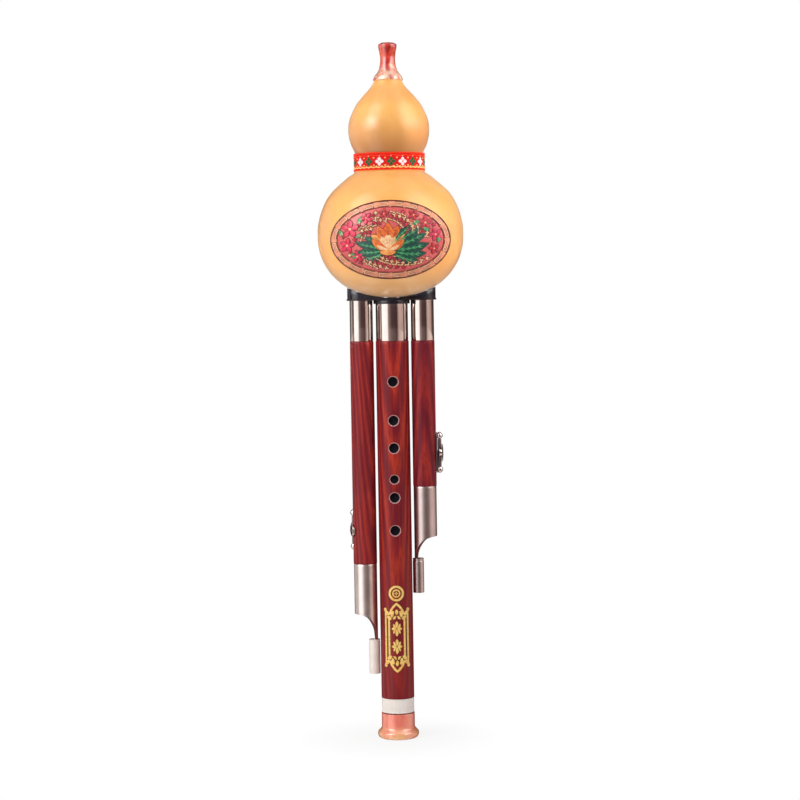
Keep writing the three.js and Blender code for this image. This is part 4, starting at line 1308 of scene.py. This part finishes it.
# Gold ornament on the main pipe
def gold_ornament():
    """Two rings over an upright frame with crowned ends, and two rosettes in the frame"""
    # Each gold stroke lies on a wider dark brown outline: engraved line and painted shadow.
    picture = Picture(on_tube(main_tube.radius, 0.0), -0.03, 0.09, 0.03, 0.5, "gold_line", 0.32, 0.06)
    ring = np.array([0, RING_LEVEL])

    # Dark brown fill between the frame's double lines and behind the crowns: painted shadow.
    def shadow_backing(path, width):
        picture.line("gold_line", path, width, -0.06, step=BRUSH_STEP)

    def gold(path, width, lift=0.0, closed=False):
        picture.stroke("gold", path, width, lift, closed)
    gold(circle(ring, 4.5), 1.5, closed=True)
    gold(circle(ring, 2.3), 0.9, closed=True)
    picture.flower("gold", ring, 0.2, QUARTERS, 1.1, 0, 4, 0.8, 0.6, 0.5)
    for side in (-1, 1):
        shadow_backing([(side * 6.6, FRAME_BASE + 8), (side * 6.6, FRAME_CREST - 8)], 2.4)
        for x, gap, width in ((7.9, 6, 1.45), (5.3, 9, 1.35)):
            gold([(side * x, FRAME_BASE + gap), (side * x, FRAME_CREST - gap)], width)
    arch = [(4.6, 7.6), (3.8, 4.9), (2.6, 3.2), (1.2, 1.6)]
    arch = [(-x, depth) for x, depth in arch] + [(0, 0.7)] + arch[::-1]
    for end, sign in ((FRAME_CREST, -1), (FRAME_BASE, 1)):
        def fold(points, side=1):
            return [(side * x, end + sign * depth) for x, depth in points]
        gold(fold(arch), 1.5)
        shadow_backing(fold([(-6.6, 7.8), (6.6, 7.8)]), 4.6)
        gold(fold([(0, 4.4), (0, 8.2)]), petal_width(2.2, 0.4, 0.4), 0.02)
        for side in (-1, 1):
            for path, width in (([(8.5, 3.6), (8.1, 5), (7.7, 6.6)], (2.4, 0.35, 0.6)),
                                ([(7.6, 5.8), (6.2, 7.2), (4.6, 7.8)], (2.4, 0.5, 0.6)),
                                ([(2.4, 5.4), (3, 7.4), (3.2, 9.8)], (2.2, 0.5, 0.6)),
                                ([(6.6, 9), (5.2, 9.8), (3.6, 11)], (2.4, 0.5, 0.6)),
                                ([(0.6, 8.6), (1.5, 10), (2.6, 10.8)], (1.5, 0.5, 0.5))):
                gold(fold(path, side), petal_width(*width))
    for level in ROSETTE_LEVELS:
        for headings, start, length, bend, widest, root in (((90, 270), 0.4, 4.6, 0, 2, 0.3),
                                                            ((0, 180), 0.4, 3.1, 0, 2, 0.3),
                                                            ((38, 218), 0.9, 3.2, 50, 1.3, 0.4),
                                                            ((142, 322), 0.9, 3.2, -50, 1.3, 0.4)):
            picture.flower("gold", (0, level), start, headings, length, bend, 8, widest, 0.6, root)
    picture.build("ornament", "main_pipe", "rosewood")


# Base under the gourd
def saddle_plan(step, count=44):
    """Evenly spaced points on the outline round the three sockets"""
    pitch = ferrules[2].middle.x
    middle_radius = ferrules[0].radius + BASE_COLLAR
    end_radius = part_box("pipe_base")[1].x - pitch - BASE_LIP
    end = math.acos((middle_radius - end_radius) / pitch)
    points = []
    for x, radius, start, stop in ((pitch, end_radius, -end, end), (0, middle_radius, end, math.pi - end),
                                   (-pitch, end_radius, math.pi - end, math.pi + end),
                                   (0, middle_radius, math.pi + end, 2 * math.pi - end)):
        for angle in np.linspace(start, stop, count):
            points.append((x + radius * math.cos(angle), radius * math.sin(angle)))
    closed = np.array(points + points[:1])
    lengths = lengths_along(closed)
    even = np.linspace(0, lengths[-1], round(lengths[-1] / step), endpoint=False)
    return np.column_stack([np.interp(even, lengths, closed[:, 0]), np.interp(even, lengths, closed[:, 1])])


def pipe_base():
    low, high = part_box("pipe_base")
    saddle = low.z + BASE_SADDLE
    lip_top = saddle + BASE_LIP_HEIGHT
    edge = PLASTIC_EDGE
    base = saddle_plan(0.8 * mm)
    ahead = np.roll(base, -1, axis=0) - np.roll(base, 1, axis=0)
    normals = units(np.column_stack([ahead[:, 1], -ahead[:, 0]]))
    rim = base - normals * edge

    def roofed(plan):
        return raised(plan, np.minimum(high.z, gourd_underside(plan) - BASE_GAP))

    def ring(grow, heights):
        return raised(base + normals * grow, heights)
    roof = roofed(base)[:, 2]
    rings = [ring(*place) for place in (
        (-edge, saddle), (BASE_LIP - edge, saddle), (BASE_LIP - 0.3 * edge, saddle + 0.3 * edge),
        (BASE_LIP, saddle + edge), (BASE_LIP, lip_top - edge / 2), (BASE_LIP - edge / 2, lip_top),
        (edge / 2, lip_top), (0, lip_top + edge / 2), (0, (lip_top + roof) / 2), (0, roof - edge),
        (-0.3 * edge, roof - 0.3 * edge))]
    form = Form(bridged(rings + [roofed(rim)]))
    steps = np.arange(low.x, high.x, 1.6 * mm)
    points = grid_of(steps, steps)
    points = points[inside(points, base - normals * (edge + 0.8 * mm))]
    flat, faces, sockets = socket_plate(rim, FIT, points, 0.5 * mm)
    form.add((roofed(flat), faces))
    form.add((raised(flat, saddle), faces))
    for socket in sockets:
        form.add(bridged([roofed(socket), raised(socket, saddle)]))
    bore = ferrules[0].radius + FIT
    collar = ferrules[0].radius + BASE_COLLAR
    form.add(turned(rounded(tube_profile(bore, collar, low.z, saddle + 0.2 * mm), edge)))
    piece("base", form, "gourd", "black_plastic", "pipe_base", "black")


# Tail of a drone
def tail_sleeve(side):
    """Sleeve cut away in an arc to a tongue"""
    node = Node(f"{side}_drone_tail_sleeve")
    tube = Node(f"{side}_drone_ferrule")
    inner = TONGUE_DEPTH - tube.radius
    half = math.acos(-inner / tube.radius)
    tongue = np.linspace(math.pi - half, math.pi + half, TONGUE_COLUMNS + 1)
    rest = np.linspace(math.pi + half, 3 * math.pi - half, SLEEVE_COLUMNS + 1)[1:-1]
    cut_level = node.high + FIT - SLEEVE_LENGTH - CUTAWAY_RADIUS

    def plan(angles):
        return tube.radius * np.column_stack([np.cos(angles), np.sin(angles)])
    around = plan(np.concatenate([tongue, rest]))
    beside = around[:, 0] - inner - CUTAWAY_RADIUS
    cut = cut_level + np.sqrt(np.maximum(CUTAWAY_RADIUS ** 2 - beside ** 2, 0))
    cut[:len(tongue)] = cut_level
    drop = cut - node.high
    sleeve = bridged([raised(around, node.high + drop * k / SLEEVE_ROWS) for k in range(SLEEVE_ROWS + 1)])
    rows = []
    for share in np.linspace(0, 1, TONGUE_ROWS + 1):
        narrow = 1 - 0.38 * min(1, 1.4 * share) ** 1.3
        level = cut_level + (node.low - cut_level) * share
        rows.append(raised(plan(math.pi + (tongue - math.pi) * narrow), level))
    facing = math.pi + TAIL_TURN if side == "left" else -TAIL_TURN
    turn = Matrix.Translation((tube.middle.x, 0, 0)) @ Matrix.Rotation(facing, 4, "Z")
    form = Form(moved(sleeve, turn), moved(bridged(rows, looped=False), turn))
    # The right sleeve takes the darker copy of the plating: painted shade.
    outside = "satin_nickel" if side == "left" else "worn_nickel"
    # The sleeve's inside and cut edges take the dark red: painted shade and painted reflection of the wood.
    obj = form.build(f"{side}_sleeve", (outside, "tarnished"))
    thicken(obj)
    dress(obj, f"{side}_drone", "nickel", node.name)


def thicken(obj):
    """Gives the sleeve's skin its wall, painted as its inside, and soft edges"""
    settings = {"SOLIDIFY": {"thickness": DRONE_FERRULE_WALL, "offset": -1, "use_even_offset": True,
                             "material_offset": 1, "material_offset_rim": 1},
                "BEVEL": {"width": METAL_EDGE / 2, "segments": 2, "limit_method": "ANGLE",
                          "angle_limit": math.radians(50)}}
    for kind, values in settings.items():
        modifier = obj.modifiers.new(kind, kind)
        for key, value in values.items():
            setattr(modifier, key, value)
    graph = bpy.context.evaluated_depsgraph_get()
    mesh = bpy.data.meshes.new_from_object(obj.evaluated_get(graph))
    obj.modifiers.clear()
    obj.data = mesh
    smooth(mesh)


# Keys
LYING = Matrix.Rotation(math.pi / 2, 4, "Y")
AT_PAD = Matrix.Rotation(PAD_ANGLE, 4, "Z") @ LYING


class Key:
    """A drone's key, drawn in a frame of its own: +X outward at its middle height"""

    def __init__(self, side):
        tube = Node(f"{side}_drone_tube")
        self.side = side
        self.plate = tube.radius + KEY_PLATE_GAP
        self.pad_face = tube.radius - PAD_SEAT_DEPTH + PAD_GAP
        self.origin = (tube.middle.x, 0)
        self.level = Node(f"{side}_key_rod").middle.z
        self.azimuth = key_azimuths[side]
        self.place = Matrix.Translation((*self.origin, self.level)) @ Matrix.Rotation(self.azimuth, 4, "Z")

    def piece(self, name, form, body, slot, *paints, node=None):
        body = f"{self.side}_{body}"
        node = f"{self.side}_key_{node or name}"
        piece(f"{self.side}_{name}", form, body, slot, node, *paints)


def key_post(key, name, level):
    """Foot and ball, and the head of the rod's screw in the ball"""
    foot = key.plate + KEY_PLATE_THICKNESS
    profile = [(0, foot), (POST_FOOT_RADIUS, foot), (POST_FOOT_RADIUS, foot + 0.15 * mm),
               (0.75 * POST_FOOT_RADIUS, foot + 0.35 * mm)]
    profile += [(BALL_RADIUS * math.sin(a), ROD_OFFSET - BALL_RADIUS * math.cos(a))
                for a in np.linspace(math.radians(38), math.pi, 18)]
    place = key.place @ Matrix.Translation((0, 0, level))
    form = Form(moved(turned(profile, sides=40, closed=False), place @ LYING))
    screw = [(0, 0), (1.0 * mm, 0), (1.0 * mm, 0.35 * mm), (0.8 * mm, 0.5 * mm), (0, 0.55 * mm)]
    facing = Matrix.Rotation(0 if level > 0 else math.pi, 4, "X")
    sunk = Matrix.Translation((0, 0, BALL_RADIUS - 0.35 * mm))
    place = place @ Matrix.Translation((ROD_OFFSET, 0, 0)) @ facing @ sunk
    form.add(moved(turned(screw, sides=28, closed=False), place))
    key.piece(name, form, "drone", "nickel", "nickel")


def key_plate(key):
    """Plate with round ends, bent round the tube"""
    half = KEY_PLATE_LENGTH / 2 - FIT
    place = on_tube(key.plate, key.level, key.origin, key.azimuth + math.pi / 2)
    width = 2 * key.plate * KEY_PLATE_HALF_ANGLE

    def round_ended(share):
        end = min(share, 1 - share) * KEY_PLATE_LENGTH
        return width * math.sqrt(max(0.12 ** 2, 1 - (1 - min(2 * end / width, 1)) ** 2))
    path = [(0, -half), (0, half)]
    shape = brush(path, round_ended, place, 0, KEY_PLATE_THICKNESS, 0.05 * mm, 0.4 * mm, edge=0.15 * mm)
    # The plate takes the darker copy of the plating: painted shade.
    key.piece("plate", shape, "drone", "nickel", "dull_nickel")


def key_pin(low, high, tip, radius, origin, sides):
    """A thin pin with its edges rounded"""
    profile = rounded([(0, low), (radius, low), (radius, high - tip), (0, high)], 0.1 * mm, False)
    return turned(profile, origin, sides, False)


def key_rod(key):
    half = POST_SPAN / 2 + BALL_RADIUS - 0.2 * mm
    rod = key_pin(-half, half, 0, ROD_RADIUS, (ROD_OFFSET, 0), 32)
    # The rod takes the darker copy of the plating: painted shade and painted reflection of the wood.
    key.piece("rod", moved(rod, key.place), "drone", "spring_steel", "dull_nickel")


def key_spring(key):
    node = Node(f"{key.side}_key_spring")
    needle = key_pin(node.low, node.high, NEEDLE_RADIUS, NEEDLE_RADIUS, node.origin, 20)
    key.piece("needle", needle, "drone", "spring_steel", "steel", node="spring")


def key_pad(key):
    face = key.pad_face
    back = face + PAD_THICKNESS
    profile = [(0, face), (PAD_RADIUS, face, 0.45 * mm), (PAD_RADIUS, back, 0.15 * mm), (0, back)]
    pad = turned(rounded(profile, 0, False), sides=56, closed=False)
    key.piece("pad", moved(pad, key.place @ AT_PAD), "key", "pad_leather", "leather")


def key_arm(inner):
    """Flat arm from the barrel round the tube to the cup"""
    rings = []
    for share in np.linspace(0, 1, 25):
        width = ARM_WIDTH * (0.5 + 0.28 * math.cos(2 * math.pi * share) ** 2 * (1 if share < 0.5 else 0.8))
        rise = ARM_THICKNESS * (1 - 0.35 * share)
        section = ((0, -0.5), (0.6, -0.5), (1, -0.3), (1, 0.3), (0.6, 0.5), (0, 0.5))
        direction = towards(math.degrees(PAD_ANGLE * share))
        rings.append([(*(direction * (inner + out * rise)), up * width) for out, up in section])
    return bridged(rings, capped=True)


def outward(profile, sides, place, size, reach, beside):
    """A body turned from shares of its size, laid with its top outward"""
    stretched = moved(turned(profile, sides=sides, closed=False), Matrix.Diagonal((*size, 1)))
    turn = Matrix(((0, 0, 1, reach), (1, 0, 0, beside), (0, 1, 0, 0), (0, 0, 0, 1)))
    return moved(stretched, place @ turn)


def key_lever(key):
    """Barrel, arm, cup and domed touch plate"""
    place = key.place
    half = POST_SPAN / 2 - BALL_RADIUS - FIT
    barrel = rounded(tube_profile(ROD_RADIUS + FIT, BARREL_RADIUS, -half, half), 0.2 * mm)
    form = Form()
    # The barrel takes the darker copy of the plating: painted shade.
    form.add(moved(turned(barrel, (ROD_OFFSET, 0), 40), place), 1)
    face = key.pad_face + PAD_THICKNESS + FIT
    cup = PAD_RADIUS + FIT + CUP_WALL
    profile = [(0, face + CUP_WALL), (0.5 * cup, face + CUP_WALL), (0.86 * cup, face + 0.8 * CUP_WALL),
               (cup, face + 0.15 * CUP_WALL), (cup, face - CUP_SKIRT), (cup - CUP_WALL, face - CUP_SKIRT),
               (cup - CUP_WALL, face), (0, face)]
    form.add(moved(turned(rounded(profile, 0.12 * mm, False), sides=56, closed=False), place @ AT_PAD))
    form.add(moved(key_arm(face + CUP_WALL / 2), place))
    dome_shares = [(0, 0), (0.9, 0), (1, 0.16), (1, 0.36), (0.93, 0.55), (0.74, 0.78), (0.42, 0.95), (0, 1)]
    form.add(outward(dome_shares, 64, place, (TOUCH_WIDTH / 2, TOUCH_HEIGHT / 2, TOUCH_THICKNESS),
                     ROD_OFFSET + TOUCH_RISE, TOUCH_OVERHANG - TOUCH_WIDTH / 2))
    web_shares = [(0, 0), (1, 0), (0.82, 0.5), (1, 1), (0, 1)]
    form.add(outward(web_shares, 40, place, (WEB_WIDTH / 2, WEB_HEIGHT / 2, TOUCH_RISE + 0.5 * mm),
                     ROD_OFFSET - 0.1 * mm, -1.2 * mm))
    key.piece("lever", form, "key", "nickel", "nickel", "dull_nickel")


# Frame pieces that keep their own shape
def finish_inner_pieces():
    for node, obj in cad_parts.items():
        if obj.hide_render:
            continue
        kind = "rubber" if node.endswith("_seal") else "reed_holder"
        if node.endswith("reed_plate"):
            kind = "brass"
        obj.data.materials.clear()
        obj.data.materials.append(materials[kind])


# Studio
def camera():
    data = bpy.data.cameras.new("camera")
    data.sensor_width = SENSOR
    data.lens = SENSOR * FOCAL_PIXELS / FRAME_PIXELS
    data.clip_start = 0.05
    data.clip_end = 100
    obj = linked("camera", data)
    turn = Matrix.Rotation(-CAMERA_YAW, 4, "Z") @ Matrix.Rotation(math.pi / 2 - CAMERA_PITCH, 4, "X")
    turn = turn @ Matrix.Rotation(-CAMERA_ROLL, 4, "Z")
    obj.matrix_world = Matrix.Translation((0, -CAMERA_DISTANCE, CAMERA_HEIGHT)) @ turn
    bpy.context.scene.camera = obj


def studio():
    scene = bpy.context.scene
    scene.view_settings.view_transform = "Standard"
    scene.world = bpy.data.worlds.new("studio")
    nodes = Nodes(scene.world)
    rays = nodes.node("LightPath", "Is Camera Ray").node.outputs
    seen = nodes.math("MAXIMUM", rays["Is Camera Ray"], rays["Is Glossy Ray"])
    seen = nodes.math("MAXIMUM", seen, rays["Is Transmission Ray"])
    strength = nodes.between(seen, 0, 1, 0.42, 1)
    nodes.feed(nodes.tree.nodes["Background"], {"Color": grey(1), "Strength": strength})


def lamp(name, azimuth, height, distance, size, power, shows, spread=180):
    """Soft box. Its azimuth runs from the camera's side towards +X. A narrow one faces the gourd."""
    data = bpy.data.lights.new(name, "AREA")
    data.shape = "RECTANGLE"
    data.size, data.size_y = size
    data.energy = power
    data.spread = math.radians(spread)
    obj = linked(name, data)
    turn = math.radians(azimuth)
    obj.location = (distance * math.sin(turn), -distance * math.cos(turn), height)
    target = Vector((0, 0, LIGHT_TARGET if spread == 180 else GOURD_TARGET))
    obj.rotation_euler = (target - obj.location).to_track_quat("-Z", "Y").to_euler()
    obj.visible_camera = False
    obj.visible_glossy = shows


def lamps():
    """Soft boxes in front and at the side, and weak narrow ones that only the gourd catches"""
    lamp("key", -52, 1.15, 1.9, (0.6, 0.8), 19, True)
    lamp("front", -12, 0.7, 2.0, (0.8, 0.8), 5, False)
    lamp("side", 70, 0.6, 1.9, (0.7, 1.0), 4.6, False)
    for name, azimuth, height, power in (("gourd_left", -112, 0.5, 0.12), ("gourd_far", 108, 0.5, 0.13),
                                         ("gourd_right", 62, 0.8, 0.06)):
        lamp(name, azimuth, height, 1.5, (0.16, 0.16), power, False, 13)


def floor():
    """White where the camera sees it, but for the shadow near the instrument's foot"""
    mesh = bpy.data.meshes.new("floor")
    corners = ((-1, -1), (1, -1), (1, 1), (-1, 1))
    mesh.from_pydata([(x * FLOOR_SIZE, y * FLOOR_SIZE, 0) for x, y in corners], [], [(0, 1, 2, 3)])
    finish = Finish("floor", Base_Color=grey(0.9), Roughness=0.9, Specular_IOR_Level=0.0)
    seen = finish.node("LightPath", "Is Camera Ray")
    place = finish.node("TexCoord", "Object")
    distance = finish.node("VectorMath", "Value", {0: place}, operation="LENGTH")
    share = finish.math("MULTIPLY", seen, finish.between(distance, 0.015, 0.07, 0.84, 1))
    mesh.materials.append(finish.glow(grey(1), share))
    obj = linked("floor", mesh)
    obj.visible_glossy = False


def reflection_wall(name, low, high, bands):
    """Round wall that only polished surfaces show. A band is an azimuth from the camera's side
    towards +X, and the grey or the linear colour seen there."""
    obj = Form(turned([(WALL_RADIUS, low), (WALL_RADIUS, high)], closed=False)).build(name)
    finish = Finish(name)
    turn = finish.node("TexGradient", "Fac", {"Vector": finish.place()}, gradient_type="RADIAL")
    stops = []
    for azimuth, *colour in bands:
        tone = grey(*colour) if len(colour) == 1 else (*colour, 1)
        stops.append(((0.25 + azimuth / 360) % 1, tone))
    obj.data.materials.append(finish.glow(finish.ramp(turn, *sorted(stops))))
    for ray in ("camera", "diffuse", "shadow", "transmission", "volume_scatter"):
        setattr(obj, "visible_" + ray, False)


def reflections():
    dark = (0.03, 0.02, 0.02)
    foot = ((-150, *dark), (-128, 0.4), (-118, 1, 0.9, 0.86), (-92, 0.4, 0.32, 0.3), (-80, 0.3, 0.24, 0.22),
            (-74, 1.5), (-33, 1.3), (-24, 0.38, 0.3, 0.28), (-2, 0.2, 0.14, 0.13), (38, 0.1, 0.07, 0.07),
            (50, 0.6, 0.47, 0.42), (66, 0.8, 0.66, 0.6), (92, 0.9, 0.74, 0.68), (112, 0.7, 0.56, 0.5),
            (134, *dark), (180, *dark))
    lower = ((-150, *dark), (-128, 0.2, 0.16, 0.15), (-118, 0.62, 0.56, 0.54), (-92, 0.14, 0.1, 0.09),
             (-80, 0.16, 0.12, 0.11), (-74, 1.5), (-33, 1.3), (-24, 0.3, 0.24, 0.22), (-2, 0.1, 0.06, 0.06),
             (38, 0.07, 0.04, 0.04), (50, 0.6, 0.45, 0.4), (66, 0.66, 0.5, 0.45), (92, 0.5, 0.38, 0.33),
             (104, 0.2, 0.13, 0.11), (134, *dark), (180, *dark))
    upper = ((-150, *dark), (-120, 0.5), (-84, 0.1), (-76, 4), (-40, 4), (-26, 0.3), (34, 0.2), (48, 4),
             (84, 3), (110, 0.1), (140, *dark), (180, *dark))
    names = ("foot_wall", "lower_wall", "upper_wall")
    for wall in zip(names, WALL_LEVELS, WALL_LEVELS[1:], (foot, lower, upper)):
        reflection_wall(*wall)


camera()
studio()
lamps()
floor()
reflections()
finishes()
gourd_shell()
medallion()
waist_ribbon()
mouthpiece()
pipe_base()
bell()
tail_ring()
ferrule(ferrules[0], "main_pipe", MAIN_FERRULE_WALL)
main_pipe()
gold_ornament()
drone_pipe("left")
drone_pipe("right")
for side, node in zip(("left", "right"), ferrules[1:]):
    ferrule(node, f"{side}_drone", DRONE_FERRULE_WALL)
    tail_sleeve(side)
    tail_tube(side)
    key = Key(side)
    key_plate(key)
    key_post(key, "upper_post", POST_SPAN / 2)
    key_post(key, "lower_post", -POST_SPAN / 2)
    key_rod(key)
    key_spring(key)
    key_pad(key)
    key_lever(key)
finish_inner_pieces()
